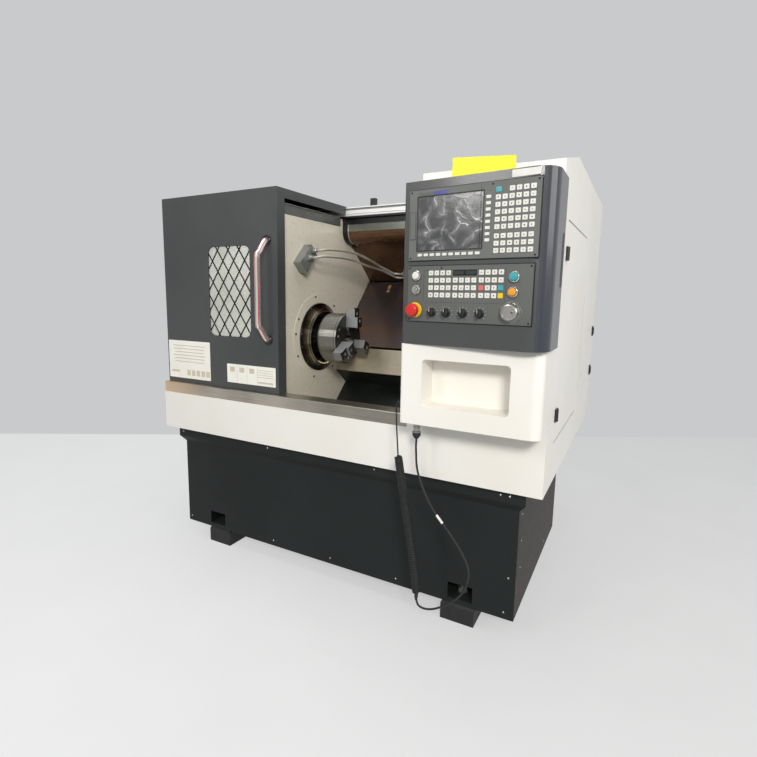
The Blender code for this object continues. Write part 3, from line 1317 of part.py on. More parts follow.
def build_spindle(paints):
    """Spindle with its belt pulley at the left and the chuck seat at the right."""
    start = PULLEY_X - 0.020
    groove = SPINDLE_PULLEY_R - 0.004
    profile = [
        (0.0, CHUCK_BORE), (0.0, SPINDLE_R), (0.020 - 0.004, SPINDLE_R), (0.020 - 0.004, SPINDLE_PULLEY_R),
        (0.020, SPINDLE_PULLEY_R), (0.020, groove), (0.020 + PULLEY_WIDTH, groove),
        (0.020 + PULLEY_WIDTH, SPINDLE_PULLEY_R), (0.024 + PULLEY_WIDTH, SPINDLE_PULLEY_R),
        (0.024 + PULLEY_WIDTH, SPINDLE_R), (HEADSTOCK_X[1] + 0.006 - start, SPINDLE_R),
        (HEADSTOCK_X[1] + 0.006 - start, 0.080), (CHUCK_START - SEAT - start, 0.080),
        (CHUCK_START - SEAT - start, CHUCK_BORE),
    ]
    spindle = turned("spindle_shaft", profile, (0, 0, 0), (1, 0, 0), paints["steel"], 28)
    spindle.location = (start, SPINDLE_Y, SPINDLE_Z)
    return spindle


def build_chuck(paints):
    """Three-jaw power chuck: turned body with radial T-slots, and stepped jaws that slide in them."""
    edge = 0.004
    profile = [
        (0.0, CHUCK_BORE), (0.0, CHUCK_R - 0.010), (0.006, CHUCK_R - edge), (0.006 + edge, CHUCK_R),
        (CHUCK_LENGTH - edge, CHUCK_R), (CHUCK_LENGTH, CHUCK_R - edge), (CHUCK_LENGTH, CHUCK_BORE),
    ]
    body = turned("chuck_body", profile, (0, 0, 0), (1, 0, 0), paints["steel"], 48)
    slots = []
    for index in range(JAW_COUNT):
        slot = box("slot", (CHUCK_LENGTH - SLOT_DEPTH, CHUCK_LENGTH + 0.02), (-SLOT_WIDTH / 2, SLOT_WIDTH / 2),
                   (0.0, CHUCK_R + 0.02), paints["steel"])
        slot.data.transform(Matrix.Rotation(2.0 * math.pi * index / JAW_COUNT, 4, "X"))
        slots.append(slot)
    cut(body, *slots)
    body.location = (CHUCK_START, SPINDLE_Y, SPINDLE_Z)
    for index in range(JAW_COUNT):
        jaw = jaw_shape(f"chuck_jaw_{index + 1}", paints)
        jaw.data.transform(Matrix.Rotation(2.0 * math.pi * index / JAW_COUNT, 4, "X"))
        jaw.location = (CHUCK_START + CHUCK_LENGTH, SPINDLE_Y, SPINDLE_Z)


def jaw_shape(name, paints):
    """Jaw on the +z radius: tongue in the slot, base, and a stepped top with a gripping nose."""
    tongue = (SLOT_WIDTH / 2 - RUNNING)
    side = [
        (SEAT, JAW_INNER), (JAW_THICKNESS, JAW_INNER), (JAW_THICKNESS, JAW_INNER + 0.045),
        (JAW_THICKNESS - 0.014, JAW_INNER + 0.045), (JAW_THICKNESS - 0.014, JAW_OUTER - 0.006),
        (JAW_THICKNESS - 0.020, JAW_OUTER), (SEAT, JAW_OUTER),
    ]
    jaw = prism(name, side, "Y", -JAW_WIDTH / 2, JAW_WIDTH / 2, paints["jaw"])
    key = box("tongue", (-SLOT_DEPTH + SEAT, 0.004), (-tongue, tongue), (JAW_INNER - 0.012, CHUCK_R - 0.008),
              paints["jaw"])
    screws = []
    for radius in (JAW_INNER + 0.030, JAW_INNER + 0.062):
        depth = JAW_THICKNESS - (0.010 if radius < JAW_INNER + 0.045 else 0.024)
        screws.append(turned("screw", [(depth, 0.0), (depth, 0.008), (0.08, 0.008), (0.08, 0.0)],
                             (0, 0, radius), (1, 0, 0), paints["jaw"], 12))
    join(jaw, key)
    return cut(jaw, *screws)


def build_motor_drive(paints):
    """Spindle motor on its foot behind the headstock, motor pulley and drive belt."""
    front = PULLEY_X + PULLEY_WIDTH + 0.030
    profile = [
        (0.0, 0.0), (0.0, 0.055), (0.008, 0.055), (0.008, MOTOR_R - 0.008), (0.020, MOTOR_R), (0.250, MOTOR_R),
        (0.256, MOTOR_R - 0.010), (0.256, MOTOR_R - 0.004), (0.300, MOTOR_R - 0.006), (0.306, MOTOR_R - 0.020),
        (0.306, 0.0),
    ]
    motor = turned("spindle_motor", profile, (front, MOTOR_Y, MOTOR_Z), (1, 0, 0), paints["dark_steel"], 32)
    bed_y, bed_z = slanted(0.400, -BED_DROP)
    foot = prism(
        "foot",
        [slanted(0.330, -BED_DROP + SEAT), slanted(0.445, -BED_DROP + SEAT), (MOTOR_Y + 0.060, MOTOR_Z - 0.050),
         (MOTOR_Y - 0.060, MOTOR_Z - 0.050)],
        "X", front + 0.050, front + 0.220, paints["dark_steel"])
    join(motor, foot)
    groove = MOTOR_PULLEY_R - 0.004
    pulley_profile = [
        (0.0, 0.0), (0.0, MOTOR_PULLEY_R), (0.004, MOTOR_PULLEY_R), (0.004, groove),
        (0.004 + PULLEY_WIDTH, groove), (0.004 + PULLEY_WIDTH, MOTOR_PULLEY_R),
        (0.008 + PULLEY_WIDTH, MOTOR_PULLEY_R), (0.008 + PULLEY_WIDTH, 0.024),
        (front - PULLEY_X + 0.004 - SEAT, 0.024), (front - PULLEY_X + 0.004 - SEAT, 0.0),
    ]
    pulley = turned("motor_pulley", pulley_profile, (0, 0, 0), (1, 0, 0), paints["steel"], 32)
    pulley.location = (PULLEY_X - 0.004, MOTOR_Y, MOTOR_Z)
    build_belt(paints)


def build_belt(paints):
    """Belt around both pulleys: a stadium band with two radii and their outer tangents."""
    big = SPINDLE_PULLEY_R - 0.004 + SEAT * 2
    small = MOTOR_PULLEY_R - 0.004 + SEAT * 2
    outer = belt_outline(big + BELT_THICKNESS, small + BELT_THICKNESS)
    inner = belt_outline(big, small)
    x = (PULLEY_X + 0.006, PULLEY_X + PULLEY_WIDTH - 0.006)
    belt = prism("drive_belt", outer, "X", x[0], x[1], paints["rubber"])
    hollow = prism("hollow", inner, "X", x[0] - 0.02, x[1] + 0.02, paints["rubber"])
    return cut(belt, hollow)


def belt_outline(big, small):
    dy = MOTOR_Y - SPINDLE_Y
    dz = MOTOR_Z - SPINDLE_Z
    distance = math.hypot(dy, dz)
    heading = math.degrees(math.atan2(dz, dy))
    lean = math.degrees(math.acos((big - small) / distance))
    around_big = arc((SPINDLE_Y, SPINDLE_Z), big, heading + lean, heading + 360.0 - lean, 20)
    around_small = arc((MOTOR_Y, MOTOR_Z), small, heading - lean, heading + lean, 14)
    return around_big + around_small


def build_covers(paints):
    """Three telescopic sheets on the slope: one fixed to the wall, one between, one carried by the saddle."""
    level = -0.0052
    third = (SADDLE_LEFT - WALL_X) / 3
    spans = {
        "way_cover_fixed": (WALL_X + SEAT, WALL_X + third),
        "way_cover_middle": (WALL_X + third - COVER_OVERLAP, WALL_X + 2 * third),
        "way_cover_saddle": (WALL_X + 2 * third - COVER_OVERLAP, SADDLE_LEFT - SEAT),
    }
    for name, x in spans.items():
        top = level + COVER
        lip = slanted(0.002, top)
        line = [slanted(SLANT_LENGTH - 0.006, top), lip]
        outline = folded(list(reversed(line)), -COVER)
        cover = prism(name, outline, "X", x[0], x[1], paints["dark_steel"])
        put_origin(cover, ((x[0] + x[1]) / 2, *slanted(SLANT_LENGTH / 2, level)))
        level = top + SEAT


def build_coolant(paints):
    """Valve block on the wall, set on its corner, and two sheathed hoses to the nipples on the rear cover."""
    y, z = 0.232, SILL + 0.558
    outline = [(-0.056, -0.030), (0.056, -0.030), (0.056, 0.030), (-0.056, 0.030)]
    turn = math.radians(45.0)
    turned_outline = [
        (y + a * math.cos(turn) - b * math.sin(turn), z + a * math.sin(turn) + b * math.cos(turn)) for a, b in outline
    ]
    block = prism("coolant_block", turned_outline, "X", WALL_X + SEAT, WALL_X + 0.040, paints["silver"])
    ends = []
    fittings = []
    for offset in (0.032, -0.012):
        fy = y + offset * math.cos(turn) + 0.004
        fz = z + offset * math.sin(turn) + 0.012
        fittings.append(turned("fitting", [(-0.004, 0.0), (-0.004, 0.010), (0.014, 0.010), (0.016, 0.007),
                                           (0.026, 0.007), (0.026, 0.0)],
                               (WALL_X + 0.040, fy, fz), (1, 0, 0), paints["silver"], 12))
        ends.append((WALL_X + 0.066 + SEAT, fy, fz))
    join(block, *fittings)
    hoses = {
        f"coolant_hose_{index}": (start, (NIPPLE_X - SEAT, *on_ceiling(up, NIPPLE_OUT)))
        for index, (start, up) in enumerate(zip(ends, NIPPLE_PLACES), start=1)
    }
    for name, (start, end) in hoses.items():
        sx, sy, sz = start
        ex, ey, ez = end
        route = [
            (sx + 0.014, sy, sz), (sx + 0.036, sy + 0.040, sz + 0.006),
            (sx + 0.060, sy + 0.200, sz + 0.004), (0.5 * (sx + ex) + 0.012, 0.5 * (sy + ey) + 0.040, sz - 0.020),
            (ex - 0.060, ey - 0.090, ez + 0.030), (ex - 0.030, ey - 0.008, ez + 0.002), (ex - 0.014, ey, ez),
        ]
        line = [Vector(start), *smooth_route(route, 0.020), Vector(end)]
        bar_along(name, line, 0.0055, 2, paints["silver"])


def build_tank(paints):
    """Coolant tank on the floor below the rear overhang, open at its top."""
    x = (LENGTH / 2 - 0.430, LENGTH / 2 + 0.430)
    y = (BASE_REAR + SEAT, DEPTH - 0.030)
    tank = box("coolant_tank", x, y, (0.0, 0.360), paints["base"])
    inside = box("inside", (x[0] + SHEET, x[1] - SHEET), (y[0] + SHEET, y[1] - SHEET), (SHEET, 0.5), paints["base"])
    cut(tank, inside)
    rim = box("rim", (x[0] - 0.015, x[1] + 0.015), (y[0], y[1] + 0.015), (0.346, 0.349), paints["base"])
    rim_hole = box("rim_hole", (x[0] + SHEET / 2, x[1] - SHEET / 2), (y[0] + SHEET / 2, y[1] - SHEET / 2),
                   (0.30, 0.40), paints["base"])
    cut(rim, rim_hole)
    return join(tank, rim)


def palette():
    return {
        "base": paint("base_grey", (0.035, 0.040, 0.046), 0.42),
        "door": paint("door_grey", (0.055, 0.058, 0.064), 0.38),
        "white": paint("enclosure_white", (0.80, 0.79, 0.76), 0.35),
        "beige": paint("inner_beige", (0.56, 0.52, 0.46), 0.45),
        "cast": paint("cast_iron", (0.10, 0.11, 0.11), 0.55, 0.6),
        "grey": paint("slide_grey", (0.18, 0.19, 0.20), 0.40, 0.7),
        "steel": paint("steel", (0.62, 0.61, 0.58), 0.28, 1.0),
        "steel_sheet": paint("chute_steel", (0.38, 0.36, 0.33), 0.32, 1.0),
        "dark_steel": paint("cover_steel", (0.20, 0.16, 0.12), 0.30, 0.9),
        "rail": paint("rail_white", (0.82, 0.82, 0.80), 0.30),
        "black": paint("black", (0.02, 0.02, 0.02), 0.40),
        "pendant": paint("pendant_grey", (0.060, 0.068, 0.082), 0.35),
        "panel": paint("panel_grey", (0.085, 0.088, 0.090), 0.45),
        "key": paint("key_white", (0.80, 0.80, 0.78), 0.45),
        "screen": paint("screen", (0.015, 0.016, 0.018), 0.15),
        "teal": paint("teal", (0.03, 0.42, 0.42), 0.35),
        "orange": paint("orange", (0.85, 0.38, 0.04), 0.35),
        "red": paint("red", (0.75, 0.02, 0.02), 0.35),
        "knob": paint("knob_black", (0.03, 0.03, 0.03), 0.50),
        "chrome": paint("chrome", (0.75, 0.75, 0.75), 0.12, 1.0),
        "silver": paint("silver", (0.60, 0.59, 0.57), 0.30, 1.0),
        "yellow": paint("yellow", (0.95, 0.90, 0.03), 0.50),
        "rubber": paint("rubber_black", (0.015, 0.015, 0.015), 0.60),
        "jaw": paint("jaw_steel", (0.30, 0.31, 0.30), 0.35, 0.9),
        "glass": paint("glass", (0.70, 0.74, 0.74), 0.08),
    }


FREE_LEAD = ("hanging_lead", "curly_lead")


def stand_on_origin():
    """Put the centre of the footprint, free lead aside, over the origin by moving one parent empty."""
    bpy.context.view_layer.update()
    low = Vector((1e9, 1e9, 1e9))
    high = -low
    for obj in bpy.context.scene.objects:
        if obj.type == "EMPTY" or obj.name in FREE_LEAD:
            continue
        for corner in obj.bound_box:
            point = obj.matrix_world @ Vector(corner)
            low = Vector(map(min, low, point))
            high = Vector(map(max, high, point))
    machine = bpy.data.objects.new("machine", None)
    bpy.context.collection.objects.link(machine)
    for obj in bpy.context.scene.objects:
        if obj.parent is None and obj is not machine:
            obj.parent = machine
    machine.location = (-(low.x + high.x) / 2, -(low.y + high.y) / 2, -low.z)
    bpy.context.view_layer.update()


def main():
    for obj in list(bpy.data.objects):
        bpy.data.objects.remove(obj)
    paints = palette()
    build_base(paints)
    build_feet(paints)
    build_tray(paints)
    build_sill(paints)
    build_left_enclosure(paints)
    build_wall(paints)
    build_flange(paints)
    build_header(paints)
    build_rear_cover(paints)
    build_chute(paints)
    build_right_enclosure(paints)
    build_side_door(paints)
    build_rear_door(paints)
    build_console(paints)
    build_gland(paints)
    build_lead(paints)
    build_pendant(paints)
    frame = pendant_frame()
    build_display(frame, paints)
    build_operator_panel(frame, paints)
    build_controls(frame, paints)
    build_yellow_plate(paints)
    build_sliding_door(paints)
    build_window(paints)
    build_handle(paints)
    build_bed(paints)
    build_saddle(paints)
    build_screw(paints)
    build_cross_slide(paints)
    build_turret(paints)
    build_headstock(paints)
    build_spindle(paints)
    build_chuck(paints)
    build_motor_drive(paints)
    build_covers(paints)
    build_coolant(paints)
    build_tank(paints)
    stand_on_origin()


main()
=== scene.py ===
# %% [markdown]
# # A CNC turning lathe, dressed for a studio picture
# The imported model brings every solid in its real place. This lesson adds what a solid does not carry: paint,
# steel, rubber, key caps, screws, blank plates, two leads, soft light and a camera. Every length is in
# metres.

# %% Load the frame
import math

import bpy
import numpy as np
from mathutils import Matrix


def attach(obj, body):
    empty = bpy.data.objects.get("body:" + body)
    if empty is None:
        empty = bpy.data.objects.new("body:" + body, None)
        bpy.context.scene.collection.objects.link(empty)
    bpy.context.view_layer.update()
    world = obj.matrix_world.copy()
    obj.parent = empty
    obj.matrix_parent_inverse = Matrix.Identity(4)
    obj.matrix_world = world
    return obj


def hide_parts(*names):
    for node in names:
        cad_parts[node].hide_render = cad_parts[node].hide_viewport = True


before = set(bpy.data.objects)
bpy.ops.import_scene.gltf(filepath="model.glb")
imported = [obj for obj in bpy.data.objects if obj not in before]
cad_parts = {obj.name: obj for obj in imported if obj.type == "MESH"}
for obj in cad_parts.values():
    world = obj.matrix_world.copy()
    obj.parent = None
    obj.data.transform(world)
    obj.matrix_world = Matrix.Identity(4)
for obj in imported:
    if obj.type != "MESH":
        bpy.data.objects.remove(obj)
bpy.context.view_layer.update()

# %% [markdown]
# The sizes below are measured as on a drawing: x from the chip tray's left end, y back from its front face,
# z up from the floor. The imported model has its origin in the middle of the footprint, so one shift joins the
# two.

# %% Where things are
SHIFT = np.array((-0.855, -0.58493, 0.0))
LENGTH = 1.700
DEPTH = 1.342
WALL_X = 0.620
SPINDLE_Y, SPINDLE_Z = 0.370, 0.969
DOOR_FRONT = 0.029
RAIL_LOW, RAIL_HIGH = 1.5246, 1.5736
FOOT_X = (0.272, 1.427)
PENDANT = np.array((1.265, -0.122, 1.0156))
PENDANT_YAW = math.radians(-6.0)
PANEL_FACE = -0.0063
PANEL_X, PANEL_Z = 0.021, 0.072
UNIT_X, UNIT_Z = 0.021, 0.254
OUT = (0.0, -1.0, 0.0)
RIGHT_SIDE = (1.0, 0.0, 0.0)
LEFT_SIDE = (-1.0, 0.0, 0.0)


def placed(points):
    """Points of the drawing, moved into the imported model's frame: each point plus the shift."""
    return np.asarray(points, dtype=float).reshape(-1, 3) + SHIFT


def on_pendant(points):
    """Points of the pendant's own frame, turned by its yaw about z, then moved to its lower left corner."""
    x, y, z = np.asarray(points, dtype=float).reshape(-1, 3).T
    c, s = math.cos(PENDANT_YAW), math.sin(PENDANT_YAW)
    return np.column_stack((c * x - s * y, s * x + c * y, z)) + PENDANT


def colour(red, green, blue):
    """A screen colour from 0 to 255 as the linear value that a shader needs."""
    value = np.array((red, green, blue)) / 255.0
    linear = np.where(value <= 0.04045, value / 12.92, ((value + 0.055) / 1.055) ** 2.4)
    return (*map(float, linear), 1.0)


def into_scene(name, data):
    """A new object of the scene that shows the data."""
    made = bpy.data.objects.new(name, data)
    bpy.context.scene.collection.objects.link(made)
    return made


# %% [markdown]
# ## The camera
# It stands to the right of the machine and a little above the pendant's lower edge. Its three turns were
# solved from edges whose real lengths are known. The shift moves the middle of the picture without turning
# the camera.

# %% Camera
PICTURE_SIZE = 757.0
FOCAL_LENGTH = 501.96
MIDDLE_ACROSS, MIDDLE_DOWN = 361.57, 368.98
SENSOR = 36.0
STAND = np.array((1.928, -1.5687, 1.167)) + SHIFT
turn_x, turn_y, turn_z = -0.1478, -0.0119, 0.5092
turning = Matrix.Rotation(turn_z, 3, "Z") @ Matrix.Rotation(turn_x, 3, "X") @ Matrix.Rotation(turn_y, 3, "Y")
camera_data = bpy.data.cameras.new("studio camera")
camera_data.sensor_width = SENSOR
camera_data.lens = SENSOR * FOCAL_LENGTH / PICTURE_SIZE
camera_data.shift_x = 0.5 - MIDDLE_ACROSS / PICTURE_SIZE
camera_data.shift_y = MIDDLE_DOWN / PICTURE_SIZE - 0.5
camera = into_scene("studio camera", camera_data)


def stand_at(thing, across, upward, backward, spot):
    """Put a camera or a lamp at a spot: its columns are right, up and backward, then the spot."""
    thing.matrix_world = Matrix((*zip(across, upward, backward, spot), (0.0, 0.0, 0.0, 1.0)))


right, forward, up = turning.col
stand_at(camera, right, up, -forward, STAND)
bpy.context.scene.camera = camera
print("camera", round(camera_data.lens, 2), "mm at", tuple(round(v, 3) for v in camera.location))

# %% [markdown]
# ## Mesh tools
# A part is a pair: an array of points and a list of faces. Parts are joined into one mesh, so that forty
# screws are one object. `from_pydata` builds a mesh from both.


# %% Mesh tools
def unit(vectors):
    """The same directions with a length of 1."""
    vectors = np.asarray(vectors, dtype=float)
    return vectors / np.linalg.norm(vectors, axis=-1, keepdims=True)


def skinned(rings):
    """A closed skin over rings of points: quads from each ring to the next one and a face over each end."""
    rings = np.asarray(rings, dtype=float)
    levels, count = rings.shape[:2]
    i, j = np.meshgrid(np.arange(levels - 1), np.arange(count), indexing="ij")
    k = (j + 1) % count
    quads = np.stack((i * count + j, i * count + k, (i + 1) * count + k, (i + 1) * count + j), axis=-1)
    last = (levels - 1) * count
    ends = [list(range(count))[::-1], list(range(last, last + count))]
    return rings.reshape(-1, 3), quads.reshape(-1, 4).tolist() + ends


def towards(direction):
    """Three unit rows: two across the direction and the direction itself."""
    along = unit(direction)
    helper = (0.0, 0.0, 1.0) if abs(along[2]) < 0.9 else (1.0, 0.0, 0.0)
    across = unit(np.cross(helper, along))
    return np.array((across, np.cross(along, across), along))


def round_angles(count):
    """Even angles round a full circle, as a column."""
    return np.linspace(0.0, 2.0 * math.pi, count, endpoint=False)[:, None]


def revolved(profile, centre, direction, segments=24):
    """Turn (height, radius) points about a line: the radius times the cosine and sine of the angle lies across
    it, the height along it."""
    profile = np.asarray(profile, dtype=float)[:, None, :]
    angle = round_angles(segments)
    across, beside, along = towards(direction)
    ring = np.cos(angle) * across + np.sin(angle) * beside
    return skinned(np.asarray(centre) + profile[..., :1] * along + profile[..., 1:] * ring)


def ring_of(profile, centre, direction, segments=32):
    """A closed ring: the profile's last point joins its first one, so the middle stays open."""
    points, faces = revolved([*profile, profile[0]], centre, direction, segments)
    return points, faces[:-2]


def block(low, high):
    """A box between two corners."""
    corners = np.array(np.meshgrid([0, 1], [0, 1], [0, 1], indexing="ij")).reshape(3, -1).T
    points = np.asarray(low) + corners * (np.asarray(high) - np.asarray(low))
    return points, [[0, 1, 3, 2], [4, 6, 7, 5], [0, 4, 5, 1], [2, 3, 7, 6], [0, 2, 6, 4], [1, 5, 7, 3]]


def rounded_outline(width, height, radius, steps=4):
    """Outline of a rectangle about zero with round corners: a quarter circle of points at each one."""
    angle = np.concatenate([np.linspace(q, q + 0.5 * math.pi, steps) for q in np.arange(4) * 0.5 * math.pi])
    signs = np.repeat(np.array(((1, 1), (-1, 1), (-1, -1), (1, -1))), steps, axis=0)
    middle = signs * np.array((width / 2 - radius, height / 2 - radius))
    return middle + radius * np.column_stack((np.cos(angle), np.sin(angle)))


def slab(x, z, width, height, radius, back, front, crown=0.0):
    """A flat plate in the xz plane, from y = back out to y = front, its front edge drawn in by the crown."""
    outline = rounded_outline(width, height, radius)
    levels = [(outline, back), (outline, front + crown)]
    if crown:
        inner = rounded_outline(width - 2 * crown, height - 2 * crown, max(1e-4, radius - crown))
        levels.append((inner, front))
    return skinned([np.column_stack((x + o[:, 0], np.full(len(o), y), z + o[:, 1])) for o, y in levels])


def ribbon(points, width, normal, thick=0.0003):
    """A thin flat line along points that lie on a surface; it stands out along the surface's normal."""
    points = np.asarray(points, dtype=float)
    side = unit(np.cross(np.gradient(points, axis=0), unit(normal))) * width / 2
    high = points + unit(normal) * thick
    return skinned(np.stack((points - side, points + side, high + side, high - side), axis=1))


def swept(points, radius, segments=12):
    """A tube: a circle carried along the points, its frame turned as little as possible at each step."""
    run = unit(np.gradient(points, axis=0))
    reference = np.array((0.0, 0.0, 1.0)) if abs(run[0][2]) < 0.9 else np.array((1.0, 0.0, 0.0))
    sides = []
    for direction in run:
        reference = unit(reference - direction * reference.dot(direction))
        sides.append(reference)
    others = np.cross(run, sides)[:, None]
    angle = round_angles(segments)
    sides = np.array(sides)[:, None]
    return skinned(points[:, None] + radius * (np.cos(angle) * sides + np.sin(angle) * others))


def steps_of(points):
    """Length of each step along a line of points."""
    return np.linalg.norm(np.diff(points, axis=0), axis=1)


def evenly(points, count_for):
    """Even points on a line and how far along it each one lies; their count follows from the line's length."""
    done = np.concatenate(([0.0], np.cumsum(steps_of(points))))
    wanted = np.linspace(0.0, done[-1], count_for(done[-1]))
    return np.column_stack([np.interp(wanted, done, points[:, axis]) for axis in range(3)]), wanted


def smooth_line(points, spacing):
    """Even points on the curve that passes through all given points and leaves each along its neighbours."""
    p = np.asarray(points, dtype=float)
    p = np.vstack((2 * p[0] - p[1], p, 2 * p[-1] - p[-2]))
    t = np.linspace(0.0, 1.0, 24, endpoint=False)[None, :, None]
    a, b, c, d = (p[i:len(p) - 3 + i][:, None] for i in range(4))
    second, third = 2 * a - 5 * b + 4 * c - d, 3 * b - a - 3 * c + d
    dense = 0.5 * (2 * b + (c - a) * t + second * t ** 2 + third * t ** 3)
    dense = np.vstack((dense.reshape(-1, 3), p[-2]))
    return evenly(dense, lambda total: max(3, int(round(total / spacing)) + 1))[0]


def length_of(points):
    """Length of a line of points: the sum of its steps."""
    return float(steps_of(points).sum())


def add_piece(name, parts, material, body="machine", smooth=None, frame_of=placed):
    """Join parts into one mesh object, put it in place, give it a material and let it ride on a body."""
    offsets = np.cumsum([0] + [len(points) for points, _ in parts])
    points = frame_of(np.vstack([points for points, _ in parts]))
    faces = [[index + int(start) for index in face] for (_, fs), start in zip(parts, offsets) for face in fs]
    mesh = bpy.data.meshes.new(name)
    mesh.from_pydata(points.tolist(), [], faces)
    mesh.update()
    mesh.materials.append(material)
    if smooth is not None:
        mesh.shade_smooth()
        mesh.set_sharp_from_angle(angle=math.radians(smooth))
    obj = into_scene(name, mesh)
    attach(obj, body)
    print(f"{name}: {len(parts)} parts, {len(points)} points, on {body}")
    return obj


# %% [markdown]
# ## Two leads
# A lead is a fixed length of cable, so its facts come first. The straight one leaves the gland under the
# console, swings out to the right, sags almost to the floor and turns up into a moulded connector. The curly
# one rises from there: a thin wire wound round a line, at radius 11.5 mm, one turn every 5.8 mm, and it ends
# in the console's left side.

# %% Leads
STRAIGHT_ROUTE = [
    (1.306, -0.078, 0.699), (1.306, -0.078, 0.660), (1.316, -0.084, 0.590), (1.350, -0.092, 0.516),
    (1.388, -0.097, 0.464), (1.447, -0.100, 0.400), (1.488, -0.101, 0.345), (1.508, -0.102, 0.296),
    (1.500, -0.102, 0.240), (1.470, -0.101, 0.190), (1.421, -0.100, 0.146), (1.384, -0.099, 0.124),
    (1.352, -0.098, 0.118), (1.3335, -0.096, 0.128), (1.329, -0.096, 0.162),
]
COIL_ROUTE = [
    (1.329, -0.096, 0.1623), (1.318, -0.096, 0.250), (1.300, -0.098, 0.360), (1.276, -0.102, 0.500),
    (1.254, -0.106, 0.640),
]
GROMMET = (1.2617, -0.109, 0.8225)
TAIL_ROUTE = [
    (1.254, -0.106, 0.640), (1.251, -0.108, 0.690), (1.247, -0.109, 0.750), (1.2455, -0.109, 0.795),
    (1.2485, -0.109, 0.817), (1.253, -0.109, 0.8225), GROMMET,
]
LEAD_DIAMETER = 0.007
WIRE_DIAMETER = 0.005
COIL_RADIUS = 0.0115
COIL_PITCH = 0.0058


def helix_round(line, radius, pitch, per_turn=14):
    """Wind a wire round a line. Its distance from the line grows from nothing over the first turn and shrinks
    back over the last one; its angle grows by one full turn for every pitch of length."""
    middle, along = evenly(line, lambda total: int(total / pitch * per_turn))
    run = unit(np.gradient(middle, axis=0))
    side = unit(np.cross(run, (0.0, 1.0, 0.0)))
    angle = (along / pitch * 2.0 * math.pi)[:, None]
    grow = np.clip(np.minimum(along, along[-1] - along) / (1.2 * pitch), 0.0, 1.0)
    grow = (grow * grow * (3.0 - 2.0 * grow) * radius)[:, None]
    return middle + grow * (np.cos(angle) * side + np.sin(angle) * np.cross(run, side))


def lead_curve(name, line, diameter):
    """A round curve object through the points of a line: a bevel of 1, scaled by each point's own radius."""
    data = bpy.data.curves.new(name, "CURVE")
    data.dimensions = "3D"
    spline = data.splines.new("POLY")
    spline.points.add(len(line) - 1)
    spline.points.foreach_set("co", np.column_stack((placed(line), np.ones(len(line)))).ravel())
    spline.points.foreach_set("radius", np.full(len(line), diameter / 2))
    data.bevel_depth = 1.0
    data.bevel_resolution = 3
    data.use_fill_caps = True
    obj = into_scene(name, data)
    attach(obj, "machine")
    return obj


straight_line = smooth_line(STRAIGHT_ROUTE, 0.008)
coil_line = helix_round(smooth_line(COIL_ROUTE, 0.004), COIL_RADIUS, COIL_PITCH)
curly_line = np.vstack((coil_line, smooth_line(TAIL_ROUTE, 0.004)[1:]))
straight_lead = lead_curve("straight_lead", straight_line, LEAD_DIAMETER)
curly_wire = lead_curve("curly_wire", curly_line, WIRE_DIAMETER)
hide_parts("hanging_lead")
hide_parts("curly_lead")
print("straight lead", round(length_of(straight_line), 3), "m long")
print("curly lead", round(length_of(curly_line), 2), "m of wire")

# %% [markdown]
# ## Shading tools
# A node is one step of a recipe. These helpers add a node to a tree and give back what comes out of it.


# %% Shading tools
def node(tree, kind, links=(), **values):
    """A node whose inputs are linked or set, and whose own settings come from the values."""
    made = tree.nodes.new("ShaderNode" + kind)
    for key, value in values.items():
        setattr(made, key, value)
    for socket, source in dict(links).items():
        if hasattr(source, "links"):
            tree.links.new(source, made.inputs[socket])
        else:
            made.inputs[socket].default_value = source
    return made


def calc(tree, operation, *sources, clamp=False):
    """The result of an operation on one or two numbers."""
    return node(tree, "Math", enumerate(sources), operation=operation, use_clamp=clamp).outputs["Value"]


def calc_vector(tree, operation, *sources, out="Vector"):
    """The result of an operation on one or two vectors; a length or a dot product comes out as a value."""
    return node(tree, "VectorMath", enumerate(sources), operation=operation).outputs[out]


def mixed(tree, factor, first, second, kind="RGBA"):
    """Mix two colours, or two numbers, by a factor."""
    sockets, result = ((0, 6, 7), 2) if kind == "RGBA" else ((0, 2, 3), 0)
    return node(tree, "Mix", zip(sockets, (factor, first, second)), data_type=kind).outputs[result]


def spread(tree, value, low, high, to_low=0.0, to_high=1.0):
    """Stretch a value from one range to another and clamp it."""
    return node(tree, "MapRange", {"Value": value, "From Min": low, "From Max": high, "To Min": to_low,
                                   "To Max": to_high}).outputs["Result"]


def noise(tree, place, scale, detail, roughness=0.5):
    """Cloudy noise at a place."""
    return node(tree, "TexNoise", {"Vector": place, "Scale": scale, "Detail": detail,
                                   "Roughness": roughness}).outputs["Fac"]


def part_of(tree, vector, axis):
    """One of the three numbers of a vector."""
    return node(tree, "SeparateXYZ", {"Vector": vector}).outputs[axis]


def facing_right(tree):
    """How far a surface faces right: the x part of its normal."""
    return part_of(tree, tree.nodes.new("ShaderNodeNewGeometry").outputs["Normal"], "X")


# %% [markdown]
# ## Shared skins
# A node group is a recipe that many materials share. Each of these two takes a place on the object and gives
# back a colour, a roughness and a normal. The shader itself stays in each material.


# %% Node groups
def new_skin(label, *numbers):
    """A group that takes a place, two colours and some numbers: its tree, its inputs and its result node."""
    tree = bpy.data.node_groups.new(label, "ShaderNodeTree")
    kinds = {"Place": "Vector", "Colour": "Color", "Shade": "Color", "Stretch": "Vector"}
    sockets = [("INPUT", text, kinds.get(text, "Float")) for text in ("Place", "Colour", "Shade", *numbers)]
    results = (("Colour", "Color"), ("Roughness", "Float"), ("Normal", "Vector"))
    sockets += [("OUTPUT", text, kind) for text, kind in results]
    for side, text, kind in sockets:
        tree.interface.new_socket(name=text, in_out=side, socket_type="NodeSocket" + kind)
    return tree, tree.nodes.new("NodeGroupInput").outputs, tree.nodes.new("NodeGroupOutput")


